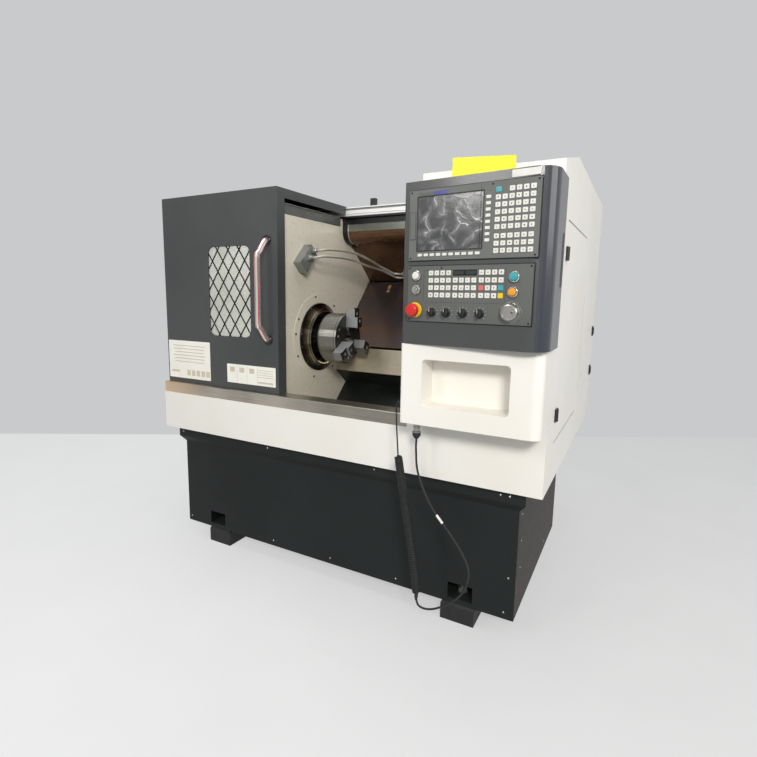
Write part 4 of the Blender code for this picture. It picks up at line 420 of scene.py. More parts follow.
def close_skin(tree, given, result, tone, worn, worn_range, grain, depth, edge):
    """Give back the tone, a roughness that follows the worn pattern, and a normal of soft edges and grain."""
    rough = spread(tree, worn, *worn_range, given["Smooth"], given["Rough"])
    rounding = node(tree, "Bevel", {"Radius": edge}, samples=4)
    bump = node(tree, "Bump", {"Strength": given["Depth"], "Distance": depth, "Height": grain,
                               "Normal": rounding.outputs["Normal"]})
    for socket, source in (("Colour", tone), ("Roughness", rough), ("Normal", bump.outputs["Normal"])):
        tree.links.new(source, result.inputs[socket])


painted_skin, given, result = new_skin("painted skin", "Patches", "Grain", "Depth", "Smooth", "Rough", "Edge")
t = painted_skin
place = given["Place"]
share = spread(t, noise(t, place, given["Patches"], 4.0, 0.55), 0.32, 0.68)
fine = noise(t, place, given["Grain"], 2.0)
dust = noise(t, place, 60.0, 6.0, 0.7)
tone = mixed(t, share, given["Colour"], given["Shade"])
dusted = mixed(t, spread(t, dust, 0.55, 0.9, 0.0, 0.12), tone, given["Shade"])
close_skin(t, given, result, dusted, dust, (0.35, 0.7), fine, 0.0004, given["Edge"])

brushed_skin, given, result = new_skin("brushed skin", "Stretch", "Depth", "Smooth", "Rough", "Patches")
t = brushed_skin
place = given["Place"]
lines = noise(t, calc_vector(t, "MULTIPLY", place, given["Stretch"]), 1.0, 5.0, 0.65)
both = calc(t, "ADD", lines, noise(t, place, given["Patches"], 3.0))
tone = mixed(t, spread(t, both, 0.7, 1.3), given["Colour"], given["Shade"])
close_skin(t, given, result, tone, lines, (0.3, 0.7), lines, 0.0003, 0.0008)


# %% [markdown]
# ## Materials
# `painted` is for powder coat, plastic and cast iron; `brushed` is for sheet and bar that shows the
# direction in which it was worked. Both read Object coordinates, so the pattern keeps its real size on every
# piece. The colours are screen colours from 0 to 255.

# %% Materials
def opened(material):
    """A material's tree, the sockets of its shader and the place on the object."""
    nodes = material.node_tree.nodes
    place = next(n for n in nodes if n.type == "TEX_COORD").outputs["Object"]
    return material.node_tree, nodes["Principled BSDF"].inputs, place


def new_material(label, group, metallic, **values):
    """A material whose colour, roughness and normal come from a skin."""
    material = bpy.data.materials.new(label)
    material.use_nodes = True
    tree = material.node_tree
    place = tree.nodes.new("ShaderNodeTexCoord").outputs["Object"]
    skin = tree.nodes.new("ShaderNodeGroup")
    skin.node_tree = group
    tree.links.new(place, skin.inputs["Place"])
    for socket, value in values.items():
        skin.inputs[socket].default_value = value
    shader = tree.nodes["Principled BSDF"]
    shader.inputs["Metallic"].default_value = metallic
    for output, socket in (("Colour", "Base Color"), ("Roughness", "Roughness"), ("Normal", "Normal")):
        tree.links.new(skin.outputs[output], shader.inputs[socket])
    return material


def painted(label, base, shade, smooth=0.3, rough=0.42, patches=5.0, grain=700.0, depth=0.2, metallic=0.0,
            coat=0.0, edge=0.0015, specular=0.5):
    """Paint, plastic or casting: two tones in patches, with fine grain."""
    material = new_material(label, painted_skin, metallic, Colour=colour(*base), Shade=colour(*shade),
                            Patches=patches, Grain=grain, Depth=depth, Smooth=smooth, Rough=rough, Edge=edge)
    slots = opened(material)[1]
    slots["Coat Weight"].default_value = coat
    slots["Coat Roughness"].default_value = 0.12
    slots["Specular IOR Level"].default_value = specular
    return material


def brushed(label, base, shade, stretch, smooth=0.2, rough=0.35, depth=0.15, patches=4.0, metallic=1.0):
    """Worked metal: two tones in lines; the stretch says how fast the lines change along x, y and z."""
    return new_material(label, brushed_skin, metallic, Colour=colour(*base), Shade=colour(*shade),
                        Stretch=stretch, Depth=depth, Smooth=smooth, Rough=rough, Patches=patches)


def within(tree, place, low, high):
    """1 inside the box between two corners of the drawing, 0 outside it."""
    low, high = np.asarray(low, dtype=float), np.asarray(high, dtype=float)
    away = calc_vector(tree, "ABSOLUTE", calc_vector(tree, "SUBTRACT", place, tuple((low + high) / 2 + SHIFT)))
    left = calc_vector(tree, "SUBTRACT", tuple((high - low) / 2), away)
    x, y, z = (part_of(tree, left, axis) for axis in "XYZ")
    return calc(tree, "GREATER_THAN", calc(tree, "MINIMUM", calc(tree, "MINIMUM", x, y), z), 0.0)


def blend_in(tree, mask, socket, wanted, kind):
    """Mix a colour or a number into a socket of the shader by the mask."""
    before = socket.links[0].from_socket if socket.links else socket.default_value
    tree.links.new(mixed(tree, mask, before, wanted, kind), socket)


def tint(material, mask, tone):
    """Mix a colour into the base colour by the mask."""
    tree, slots, _ = opened(material)
    blend_in(tree, mask, slots["Base Color"], colour(*tone), "RGBA")


def repaint(material, boxes, first, second, metallic=0.0, rough=0.4):
    """Another colour, metal and roughness wherever a point lies inside one of the boxes."""
    tree, slots, place = opened(material)
    mask = within(tree, place, *boxes[0])
    for box in boxes[1:]:
        mask = calc(tree, "MAXIMUM", mask, within(tree, place, *box))
    tone = mixed(tree, noise(tree, place, 40.0, 4.0), colour(*first), colour(*second))
    blend_in(tree, mask, slots["Base Color"], tone, "RGBA")
    blend_in(tree, mask, slots["Metallic"], metallic, "FLOAT")
    blend_in(tree, mask, slots["Roughness"], rough, "FLOAT")


white_paint = painted("white powder coat", (246, 243, 236), (240, 236, 226), 0.30, 0.40, 2.5)
charcoal = painted("charcoal powder coat", (41, 44, 44), (36, 39, 39), 0.42, 0.50, 3.0, depth=0.05,
                   specular=0.12)
door_grey = painted("door grey powder coat", (76, 78, 77), (65, 68, 68), 0.32, 0.46, 2.0, specular=0.35)
beige = painted("beige wall paint", (234, 226, 207), (226, 218, 201), 0.26, 0.32, 2.5, depth=0.04, coat=0.25)
pendant_grey = painted("pendant coat", (68, 70, 69), (61, 63, 63), 0.28, 0.33, 3.0, depth=0.06, coat=0.35)
panel_grey = painted("panel plastic", (93, 95, 91), (86, 88, 84), 0.42, 0.55, 6.0, 1500.0, 0.3)
unit_grey = painted("display unit plastic", (105, 107, 103), (98, 100, 96), 0.42, 0.55, 6.0, 1500.0, 0.3)
black_plastic = painted("black plastic", (26, 27, 29), (20, 21, 22), 0.34, 0.5, 8.0, 1200.0)
rubber = painted("black rubber", (24, 24, 25), (31, 31, 31), 0.55, 0.7, 20.0, 900.0, 0.4, edge=0.0005)
white_plastic = painted("white key plastic", (230, 228, 220), (220, 217, 208), 0.38, 0.5, 30.0, edge=0.0004)
teal_plastic = painted("teal plastic", (64, 170, 176), (50, 150, 158), 0.28, 0.4, 30.0, edge=0.0005)
orange_plastic = painted("orange plastic", (240, 164, 48), (226, 146, 34), 0.28, 0.4, 30.0, edge=0.0005)
red_plastic = painted("red plastic", (216, 44, 38), (196, 34, 30), 0.26, 0.38, 30.0, edge=0.0008)
rose_plastic = painted("rose plastic", (222, 110, 104), (206, 96, 92), 0.35, 0.5, 30.0, edge=0.0004)
yellow_plastic = painted("yellow plastic", (240, 206, 40), (230, 190, 28), 0.3, 0.42, 30.0, edge=0.0006)
yellow_paint = painted("yellow plate paint", (250, 246, 56), (244, 236, 44), 0.4, 0.5, 8.0)
# The chute's dark colour is painted shade: it stands for the shade of the cavity below the upright face.
chute_painted_shade = painted("chute painted shade", (22, 28, 23), (14, 18, 15), 0.34, 0.5, 6.0)
valve_grey = painted("valve body", (150, 152, 147), (130, 133, 128), 0.34, 0.46, 14.0, metallic=0.35)
cast_iron = painted("cast iron", (78, 84, 84), (62, 67, 68), 0.5, 0.68, 9.0, 260.0, 0.6)
machine_grey = painted("slide paint", (70, 78, 84), (58, 64, 70), 0.36, 0.5, 7.0, 600.0, 0.3)
black_steel = painted("blackened steel", (34, 34, 35), (24, 24, 25), 0.24, 0.4, 12.0, 800.0, 0.25, 0.6)
bare_plate = painted("blank plate", (250, 248, 238), (243, 240, 227), 0.4, 0.52, 12.0, edge=0.0002)
plate_field = painted("blank field", (214, 206, 188), (204, 190, 164), 0.42, 0.55, 18.0, edge=0.0002)
blue_strip = painted("blue strip", (66, 72, 150), (56, 62, 138), 0.3, 0.42, 20.0, edge=0.0002)
led_glass = painted("number glass", (52, 54, 53), (44, 46, 45), 0.2, 0.3, 12.0, edge=0.0)
strip_grey = painted("grey strip", (112, 114, 110), (100, 103, 100), 0.34, 0.46, 8.0, metallic=0.4)
seam_grey = painted("seam shade", (150, 148, 142), (138, 136, 130), 0.5, 0.6, 8.0, edge=0.0)
motor_paint = painted("motor paint", (46, 50, 56), (38, 42, 47), 0.4, 0.55, 8.0)
gland_coat = painted("gland boot", (24, 24, 25), (18, 18, 19), 0.5, 0.65, 12.0)
screen = painted("screen film", (70, 71, 71), (50, 51, 51), 0.16, 0.28, 9.0, 300.0, 0.02, coat=0.5, edge=0.0)

stainless = brushed("brushed stainless", (204, 196, 182), (150, 144, 134), (6.0, 500.0, 900.0), 0.26, 0.42)
rail_metal = brushed("white anodised rail", (246, 246, 244), (234, 234, 231), (4.0, 700.0, 700.0),
                     0.3, 0.42, 0.05, metallic=0.1)
brown_steel = brushed("oiled cover steel", (118, 86, 60), (82, 60, 46), (8.0, 30.0, 30.0), 0.16, 0.30,
                      0.05, 3.0, 0.55)
# The way cover's brown and blue patches are painted reflection.
way_steel = brushed("ground cover steel", (116, 86, 60), (72, 76, 90), (3.0, 9.0, 9.0), 0.18, 0.26,
                    0.02, 3.0, 0.6)
turned_steel = brushed("turned steel", (176, 176, 170), (134, 133, 128), (2600.0, 14.0, 14.0), 0.30, 0.36,
                       0.08)
bar_steel = brushed("ground bar", (206, 205, 200), (164, 163, 158), (30.0, 600.0, 600.0), 0.18, 0.3)
dark_chrome = brushed("dark chrome", (150, 138, 114), (112, 102, 84), (900.0, 20.0, 20.0), 0.14, 0.26, 0.05)
grey_steel = brushed("ground tool steel", (186, 187, 184), (150, 151, 149), (500.0, 500.0, 30.0), 0.28, 0.4,
                     metallic=0.6)
silver = brushed("silver dial", (196, 194, 190), (160, 158, 154), (500.0, 500.0, 500.0), 0.22, 0.36)
chrome = brushed("chrome", (220, 220, 220), (190, 190, 190), (60.0, 60.0, 60.0), 0.06, 0.14, 0.03)
sheath = brushed("metal hose sheath", (222, 218, 206), (170, 166, 154), (700.0, 30.0, 30.0), 0.3, 0.42, 0.2,
                 metallic=0.45)
screw_steel = brushed("zinc screw", (206, 204, 198), (170, 168, 160), (400.0, 400.0, 400.0), 0.2, 0.34)
handle_coat = brushed("striped chrome", (236, 232, 228), (212, 208, 204), (40.0, 40.0, 20.0), 0.14, 0.24, 0.03)

safety_glass = painted("safety glass", (246, 246, 236), (222, 224, 212), 0.16, 0.26, 5.0, 900.0, 0.02,
                       edge=0.0)
glass = opened(safety_glass)[1]
glass["Transmission Weight"].default_value = 0.34
glass["IOR"].default_value = 1.45

# %% [markdown]
# ## Two finishes on one solid
# The side and rear doors hang on black hinges, the rail has dark grooves and a dark bumper, the rolled cover
# is dark above its roll and has a painted highlight along it, two warm marks lie on the way cover, the chute
# is bright on its upright face and dark below it as painted shade, the feet carry steel studs on rubber pads,
# and the gland is a chrome nut on a rubber boot.

# %% Zones of the solids
BLACK, SOOT = (22, 22, 23), (14, 14, 15)
HINGE_HALF, PROUD, REACH = 0.0215, 0.0006, 0.03
hinges = [((LENGTH + PROUD, 0.100, z - HINGE_HALF), (LENGTH + REACH, 0.200, z + HINGE_HALF))
          for z in (0.782, 1.3005)]
hinges += [((1.260, DEPTH + PROUD, z - HINGE_HALF), (1.340, DEPTH + REACH, z + HINGE_HALF))
           for z in (0.950, 1.400)]
repaint(white_paint, hinges, BLACK, SOOT)
groove = ((0.0, 0.55, RAIL_LOW - 0.01), (1.3, 0.61, RAIL_LOW + 0.0095))
bumper = ((0.76, 0.56, RAIL_HIGH + 0.0005), (0.81, 0.60, RAIL_HIGH + 0.05))
repaint(rail_metal, [groove, bumper], (34, 34, 33), (26, 26, 25))
repaint(rail_metal, [((0.0, 0.5525, RAIL_LOW + 0.0340), (1.3, 0.5572, RAIL_LOW + 0.0445))],
        (150, 150, 148), (130, 130, 128))
repaint(brown_steel, [((0.60, 0.55, 1.4965), (1.72, 0.62, 1.54)), ((0.60, 0.55, 1.395), (0.6485, 0.72, 1.54))],
        BLACK, SOOT, 0.2, 0.35)
# Painted highlight: a lighter band along the roll, and a bright line at the roll's left end.
repaint(brown_steel, [((0.6485, 0.569, 1.4640), (1.72, 0.578, 1.4965))],
        (132, 134, 124), (110, 112, 104), 0.7, 0.25)
repaint(brown_steel, [((0.6485, 0.569, 1.398), (0.6530, 0.66, 1.4965))],
        (214, 214, 206), (180, 180, 172), 0.9, 0.22)
# Only the chute's upright face gets its cream colour; below it the painted shade stays.
repaint(chute_painted_shade, [((0.60, 0.50, 0.7975), (1.80, 0.56, 0.95))], (214, 204, 180), (188, 178, 154), 0.6, 0.3)
spots = [((0.749, 0.70, 1.178), (0.764, 0.90, 1.192)), ((0.746, 0.70, 1.197), (0.762, 0.90, 1.216))]
repaint(way_steel, spots, (214, 178, 128), (190, 120, 70), 0.1, 0.4)
repaint(rubber, [((x - 0.03, 0.08, 0.0905), (x + 0.03, 0.145, 0.14)) for x in FOOT_X], (134, 138, 130),
        (96, 100, 94), 0.5, 0.4)
repaint(gland_coat, [((1.25, -0.15, 0.7205), (1.36, 0.0, 0.77))], (176, 176, 172), (120, 120, 118), 0.9, 0.22)

# %% [markdown]
# The sill carries a painted reflection: warm at its left end and cool at its right end. The base turns brown
# where it faces right, a painted reflection. On the rolled cover, a step that stands proud of the slope is
# bright, a painted highlight.

# %% Tints along a solid
t, _, place = opened(stainless)
along = part_of(t, place, "X")
# Painted reflection: the sill is warm towards its left end and darker grey towards its right end.
tint(stainless, spread(t, along, -0.85, -0.55, 0.75, 0.0), (236, 204, 164))
tint(stainless, spread(t, along, -0.30, 0.25, 0.0, 0.55), (104, 104, 100))
t = charcoal.node_tree
# Painted reflection: the base is brown where it faces right.
tint(charcoal, spread(t, facing_right(t), 0.6, 0.9), (34, 26, 17))
t, _, place = opened(brown_steel)
outward = np.array((0.0, -0.6563, -0.7545))
on_slope = np.array((0.0, 0.645, 1.4189)) + SHIFT * (0.0, 1.0, 1.0)
reach = calc_vector(t, "DOT_PRODUCT", place, tuple(outward), out="Value")
# Painted highlight: the step that stands proud of the slope is made bright.
proud = calc(t, "GREATER_THAN", reach, float(outward @ on_slope) + 0.0012)
on_step = within(t, place, (0.82, 0.70, 1.15), (0.90, 0.95, 1.36))
tint(brown_steel, calc(t, "MULTIPLY", proud, on_step), (206, 206, 200))

# %% [markdown]
# Some materials need more than a skin. The screen has a thin film whose creases carry painted highlights: a
# crease is where a bent cell pattern is close to its edge, broken up by a second noise. The handle is chrome
# with two red stripes, which follow from the distance of a point to the tube's middle plane. The chuck's
# turned
# face carries scribed circles: rings in the distance from the spindle's axis. The flange goes from black
# through bronze, a painted reflection, to a bright lip, a painted highlight, in the same distance. The
# pendant's coat turns darker and blue where its surface faces sideways: painted shade and reflection.

# %% Screen film
t, slots, place = opened(screen)
bend = node(t, "TexNoise", {"Vector": place, "Scale": 14.0, "Detail": 3.0}).outputs["Color"]
bent = calc_vector(t, "ADD", place, calc_vector(t, "MULTIPLY", bend, (0.075, 0.0, 0.075)))
cells = node(t, "TexVoronoi", {"Vector": bent, "Scale": 21.0}, feature="DISTANCE_TO_EDGE").outputs["Distance"]
breaks = noise(t, bent, 34.0, 2.0)
crease = calc(t, "MULTIPLY", spread(t, cells, 0.0, 0.034, 0.68, 0.0), spread(t, breaks, 0.47, 0.72))
soft = calc(t, "MULTIPLY", spread(t, cells, 0.0, 0.26, 0.24, 0.0), spread(t, breaks, 0.30, 0.62))
wrinkle = node(t, "TexNoise", {"Vector": bent, "Scale": 40.0, "Detail": 4.0, "Roughness": 0.6},
               noise_type="RIDGED_MULTIFRACTAL").outputs["Fac"]
lower = spread(t, part_of(t, place, "Z"), 1.31, 1.41, 0.46, 0.12)
haze = calc(t, "MULTIPLY", spread(t, wrinkle, 0.45, 1.1), lower)
# Painted highlights: bright crease lines, and a lighter haze that grows towards the bottom; the same pattern
# bumps the film.
crease_highlight_and_height = calc(t, "ADD", calc(t, "ADD", crease, soft), haze, clamp=True)
tint(screen, crease_highlight_and_height, (214, 214, 212))
ridge = node(t, "Bump", {"Strength": 0.35, "Distance": 0.0015, "Height": crease_highlight_and_height}).outputs["Normal"]
t.links.new(ridge, slots["Normal"])
t.links.new(ridge, slots["Coat Normal"])

# %% Handle and pendant
HANDLE_X = 0.600
STRIPES = ((-0.0035, 0.0022, 0.0030), (0.0085, 0.0008, 0.0014))
t, slots, place = opened(handle_coat)
offset = calc(t, "SUBTRACT", part_of(t, place, "X"), HANDLE_X + SHIFT[0])
stripe = calc(t, "MAXIMUM", *(
    spread(t, calc(t, "ABSOLUTE", calc(t, "SUBTRACT", offset, middle)), solid, end, 1.0, 0.0)
    for middle, solid, end in STRIPES))
tint(handle_coat, stripe, (196, 62, 56))
t.links.new(spread(t, stripe, 0.0, 1.0, 0.8, 0.0), slots["Metallic"])
front, back = DOOR_FRONT - 0.0086, DOOR_FRONT + 0.001
pads = [((HANDLE_X - 0.05, front, z - 0.03), (HANDLE_X + 0.05, back, z + 0.03)) for z in (0.978, 1.375)]
repaint(handle_coat, pads, (40, 40, 40), (30, 30, 30), 0.3, 0.35)
t = pendant_grey.node_tree
# Painted shade and reflection: the coat is darker and blue where the surface faces sideways.
tint(pendant_grey, spread(t, calc(t, "ABSOLUTE", facing_right(t)), 0.20, 0.60), (47, 51, 61))
# The side slot is painted black as the shade inside its opening.
slot = ((LENGTH + 0.002, 0.0072, 1.1918), (LENGTH + 0.0097, 0.0148, 1.3462))
repaint(pendant_grey, [slot], SOOT, SOOT, 0.0, 0.7)


# %% Turned faces
def from_axis(tree, place):
    """Distance of a point from the spindle's axis: the length of its offset with x left out."""
    away = calc_vector(tree, "SUBTRACT", place, (0.0, SPINDLE_Y + SHIFT[1], SPINDLE_Z))
    return calc_vector(tree, "LENGTH", calc_vector(tree, "MULTIPLY", away, (0.0, 1.0, 1.0)), out="Value")


def stops(tree, value, low, high, steps):
    """A row of colours along a value, blended from each place to the next."""
    ramp = node(tree, "ValToRGB", {"Fac": spread(tree, value, low, high)})
    elements = ramp.color_ramp.elements
    for index, (at, tone) in enumerate(steps):
        element = elements[index] if index < 2 else elements.new(1.0)
        element.position = (at - low) / (high - low)
        element.color = colour(*tone)
    return ramp.outputs["Color"]


def turned_grain(material, amount):
    """Grooves that run round the x axis stretch each highlight along it."""
    tree, slots, _ = opened(material)
    slots["Anisotropic"].default_value = amount
    slots["Anisotropic Rotation"].default_value = 0.25
    grain = node(tree, "Tangent", direction_type="RADIAL", axis="X")
    tree.links.new(grain.outputs["Tangent"], slots["Tangent"])


t, slots, place = opened(dark_chrome)
# Rings by distance from the axis: black, a bright lip as painted highlight, and bronze bands as painted
# reflection.
flange_bands_painted_light = stops(t, from_axis(t, place), 0.10, 0.16, [
    (0.1000, SOOT), (0.1168, SOOT), (0.1175, (240, 236, 222)), (0.1235, (230, 224, 206)),
    (0.1245, (44, 39, 30)), (0.1310, (176, 166, 140)), (0.1350, (96, 84, 62)), (0.1450, (30, 27, 22)),
    (0.1494, SOOT), (0.1600, SOOT)])
t.links.new(mixed(t, 0.12, flange_bands_painted_light, slots["Base Color"].links[0].from_socket), slots["Base Color"])
turned_grain(dark_chrome, 0.8)

turned_grain(turned_steel, 0.9)
t, _, place = opened(turned_steel)
scribed = calc(t, "FRACT", calc(t, "MULTIPLY", from_axis(t, place), 110.0))
on_face = within(t, place, (0.7740, 0.2, 0.8), (0.80, 0.6, 1.2))
tint(turned_steel, calc(t, "MULTIPLY", spread(t, scribed, 0.0, 0.06, 1.0, 0.0), on_face), (60, 60, 58))
repaint(turned_steel, [((0.7741, 0.2, 0.8), (0.80, 0.6, 1.2))], (62, 62, 59), (40, 40, 38), 0.7, 0.30)
repaint(turned_steel, [((0.60, 0.2, 0.8), (0.6835, 0.6, 1.2))], (52, 52, 50), (40, 40, 38), 0.6, 0.3)

t = grey_steel.node_tree
# Painted shade: faces that point along +x are darker, on the jaws and on the turret disc.
tint(grey_steel, spread(t, facing_right(t), 0.45, 0.7), (44, 43, 41))

# %% [markdown]
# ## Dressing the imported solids
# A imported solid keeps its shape. Only the material in each of its slots changes.

# %% Dress the solids
DRESS = {
    white_paint: "chip_tray left_enclosure right_enclosure side_door rear_door console_box coolant_tank",
    charcoal: "base_cabinet",
    door_grey: "sliding_door",
    beige: "chuck_wall",
    pendant_grey: "pendant_housing",
    panel_grey: "operator_panel",
    unit_grey: "display_unit",
    gland_coat: "cable_gland",
    black_plastic: "override_knob_1 override_knob_2 override_knob_3 override_knob_4",
    rubber: "hanging_lead curly_lead drive_belt machine_foot_1 machine_foot_2 machine_foot_3 machine_foot_4",
    white_plastic: "push_white",
    teal_plastic: "push_teal",
    orange_plastic: "push_orange",
    red_plastic: "estop_head",
    yellow_paint: "yellow_plate",
    cast_iron: "slant_bed headstock saddle",
    machine_grey: "cross_slide",
    stainless: "sill_strip",
    rail_metal: "header_rail",
    brown_steel: "rear_cover",
    way_steel: "way_cover_fixed way_cover_middle way_cover_saddle",
    chute_painted_shade: "chip_chute",
    turned_steel: "chuck_body",
    bar_steel: "spindle_shaft z_ball_screw motor_pulley",
    dark_chrome: "spindle_flange",
    grey_steel: "chuck_jaw_1 chuck_jaw_2 chuck_jaw_3 turret_disc",
    valve_grey: "coolant_block",
    sheath: "coolant_hose_1 coolant_hose_2",
    silver: "handwheel_dial",
    chrome: "key_switch",
    motor_paint: "spindle_motor",
    safety_glass: "window_glass",
    screen: "screen_glass",
    handle_coat: "door_handle",
    black_steel: "window_mesh",
}
for material, names in DRESS.items():
    for name in names.split():
        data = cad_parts[name].data
        if not data.materials:
            data.materials.append(material)
        for index in range(len(data.materials)):
            data.materials[index] = material
bare = sorted(set(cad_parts) - set(" ".join(DRESS.values()).split()))
print("dressed", len(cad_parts) - len(bare), "solids; left over:", bare)
for lead in (straight_lead, curly_wire):
    lead.data.materials.append(rubber)

# %% [markdown]
# ## On the leads
# The straight lead carries a white tag sleeve, and a moulded connector joins the two leads.

# %% Connector, tag and grommet
CONNECTOR = [(-0.020, 0.0038), (-0.014, 0.0048), (-0.008, 0.0062), (0.006, 0.0066), (0.010, 0.0060),
             (0.014, 0.0045)]
GROMMET_SHAPE = [(-0.0002, 0.0075), (0.0022, 0.0075), (0.0030, 0.0060), (0.0110, 0.0036), (0.0112, 0.0028)]
tag_start = int(len(straight_line) * 0.335)
tag = add_piece("lead_tag", [swept(straight_line[tag_start:tag_start + 5], 0.0042)], white_plastic, smooth=40)
connector = add_piece("lead_connector", [revolved(CONNECTOR, (1.3291, -0.096, 0.158), (0.02, 0.0, 1.0), 20)],
                      black_plastic, smooth=40)
add_piece("lead_grommet", [revolved(GROMMET_SHAPE, GROMMET, LEFT_SIDE, 20)], black_plastic, smooth=40)
placed(straight_line[0])[0]
placed(curly_line[0])[0]

# %% [markdown]
# ## Blank plates
# Two thin white plates sit on the door. Each is a plain sheet with empty fields.


# %% Blank plates
def blank_plate(name, x, z, y, fields, body):
    """A thin plate between two x and two z values; its fields are shares of its width and height."""
    wide, high = x[1] - x[0], z[1] - z[0]
    add_piece(name, [slab(sum(x) / 2, sum(z) / 2, wide, high, 0.003, y, y - 0.0006, 0.0002)], bare_plate, body)
    parts = [slab(x[0] + fx * wide, z[0] + fz * high, fw * wide, fh * high, 0.0008, y - 0.0005, y - 0.0008)
             for fx, fz, fw, fh in fields]
    add_piece(name + "_fields", parts, plate_field, body)


LEFT_FIELDS = [(0.5, 0.87 - row * 0.085, 0.78 - 0.04 * (row % 3), 0.022) for row in range(6)]
LEFT_FIELDS += [(0.48 + 0.115 * column, 0.16, 0.085, 0.15) for column in range(5)] + [(0.16, 0.18, 0.20, 0.06)]
RIGHT_FIELDS = [(share, 0.72, 0.10, 0.26) for share in (0.115, 0.315, 0.525)] + [(0.80, 0.16, 0.30, 0.09)]
RIGHT_FIELDS += [(0.80, 0.80 - row * 0.12, 0.32, 0.03) for row in range(4)]
RIGHT_FIELDS += [(share, 0.5, 0.004, 0.92) for share in (0.215, 0.425, 0.64)]
blank_plate("door_plate_left", (0.006, 0.268), (0.7755, 0.948), DOOR_FRONT, LEFT_FIELDS, "door")
blank_plate("door_plate_right", (0.368, 0.634), (0.7830, 0.8640), DOOR_FRONT, RIGHT_FIELDS, "door")

# %% [markdown]
# ## Keys, bezels and scales on the pendant
# The solids carry plain key blocks. A cap covers each block and hides it. The caps follow the same rule as
# the blocks: first place plus column times pitch, with a wider gap where the real keyboard has one. Each
# place is the key's lower left corner, its width and its height.

# %% Key places
MATRIX_X, MATRIX_Z = PANEL_X + 0.072, PANEL_Z + 0.073
MATRIX_STEP, MATRIX_RISE = 0.0190, 0.0215
KEYPAD_X, KEYPAD_Z = UNIT_X + 0.268, UNIT_Z + 0.014
keypad = [(KEYPAD_X + c * 0.0188, KEYPAD_Z + r * 0.0195 + (0.005 if r > 2 else 0.0), 0.0135, 0.0125)
          for c in range(6) for r in range(9) if not (r == 8 and c < 2)]
side_keys = [(UNIT_X + 0.241, UNIT_Z + 0.046 + r * 0.0165, 0.0130, 0.0080) for r in range(8)]
soft_keys = [(UNIT_X + 0.032 + c * 0.0203, UNIT_Z + 0.012, 0.0135, 0.0075) for c in range(10)]
teal_key = (KEYPAD_X, UNIT_Z + 0.204 - 0.029, 0.0155, 0.0135)
matrix = {(r, c): (MATRIX_X + c * MATRIX_STEP + 0.003 * (c // 4), MATRIX_Z + r * MATRIX_RISE, 0.0140, 0.0135)
          for r in range(4) for c in range(12) if not (r == 3 and 4 <= c < 8)}
rose_key, lower_teal_key, yellow_key = (matrix.pop(key) for key in ((1, 8), (1, 11), (0, 11)))
matrix = list(matrix.values())
MARKS = [
    [(0.0, 0.34, 0.12, 0.0002)],
    [(-0.12, 0.30, 0.09, 0.0002), (0.12, 0.30, 0.09, 0.0002)],
    [(0.0, 0.24, 0.26, 0.0003)],
    [(0.0, 0.14, 0.34, 0.0002)],
]


def raised(x, z, width, height, radius, high, low=0.0, crown=0.0):
    """A slab on the panels' face, from one height over it up to another."""
    return slab(x, z, width, height, radius, PANEL_FACE - low, PANEL_FACE - high, crown)


def caps(places):
    """Key caps: each is a slab a little wider than its block, 1.9 mm proud, with a crowned edge."""
    return [raised(x + w / 2, z + h / 2, w + 0.0006, h + 0.0006, 0.0014, 0.0019, -0.0002, 0.0005)
            for x, z, w, h in places]


def marks(places):
    """A small generic mark on each key: a bar, a pair of bars, a square or an upright bar, in turn."""
    front = PANEL_FACE - 0.0020
    return [slab(x + w / 2, z + h / 2 + up * h, wide * w, high * h, radius, front + 0.0002, front)
            for index, (x, z, w, h) in enumerate(places)
            for up, wide, high, radius in MARKS[(index * 7 + index // 5) % 4]]


def pendant_piece(name, parts, material, body="machine", smooth=None):
    """A piece given in the pendant's own frame."""
    return add_piece(name, parts, material, body, smooth, lambda points: placed(on_pendant(points)))


pendant_piece("white_key_caps", caps(keypad + side_keys + soft_keys + matrix), white_plastic)
pendant_piece("key_marks", marks(keypad + matrix), black_plastic)
pendant_piece("teal_key_caps", caps([teal_key, lower_teal_key]), teal_plastic)
pendant_piece("rose_key_cap", caps([rose_key]), rose_plastic)
pendant_piece("yellow_key_cap", caps([yellow_key]), yellow_plastic)

# %% [markdown]
# Bezels, scales and screws are turned or flat pieces on the same face.

# %% Bezels, scales and small parts of the pendant
PUSH_BEZEL = [(-0.001, 0.0154), (0.0062, 0.0154), (0.0084, 0.0134), (0.0084, 0.0118),
              (0.004, 0.0118), (-0.001, 0.0152)]
KEY_BEZEL = [(-0.001, 0.0149), (0.0052, 0.0149), (0.0073, 0.0127), (0.0073, 0.0084),
             (0.004, 0.0084), (-0.001, 0.0147)]
STOP_RING = [(-0.001, 0.0229), (0.0022, 0.0229), (0.0034, 0.0217), (0.0034, 0.0110),
             (0.002, 0.0110), (-0.001, 0.0226)]
PUSHES = [(0.031, 0.137), (0.331, 0.131), (0.329, 0.090)]
KNOBS = [(0.085, 0.028), (0.132, 0.028), (0.185, 0.028), (0.236, 0.028)]
KEY_SWITCH, DIAL, STOP = (0.030, 0.095), (0.325, 0.035), (0.027, 0.034)


def at_unit(place):
    """A place on the display unit's face, from its lower left corner."""
    return UNIT_X + place[0], PANEL_FACE, UNIT_Z + place[1]


def at_panel(place):
    """A place on the operator panel's face, from its lower left corner."""
    return PANEL_X + place[0], PANEL_FACE, PANEL_Z + place[1]


def bezel(name, profile, places, material):
    """One turned ring of the same shape at each place."""
    pendant_piece(name, [ring_of(profile, at_panel(place), OUT) for place in places], material, smooth=35)


bezel("push_bezels", PUSH_BEZEL, PUSHES, chrome)
bezel("key_switch_bezel", KEY_BEZEL, [KEY_SWITCH], silver)
bezel("stop_ring", STOP_RING, [STOP], yellow_plastic)


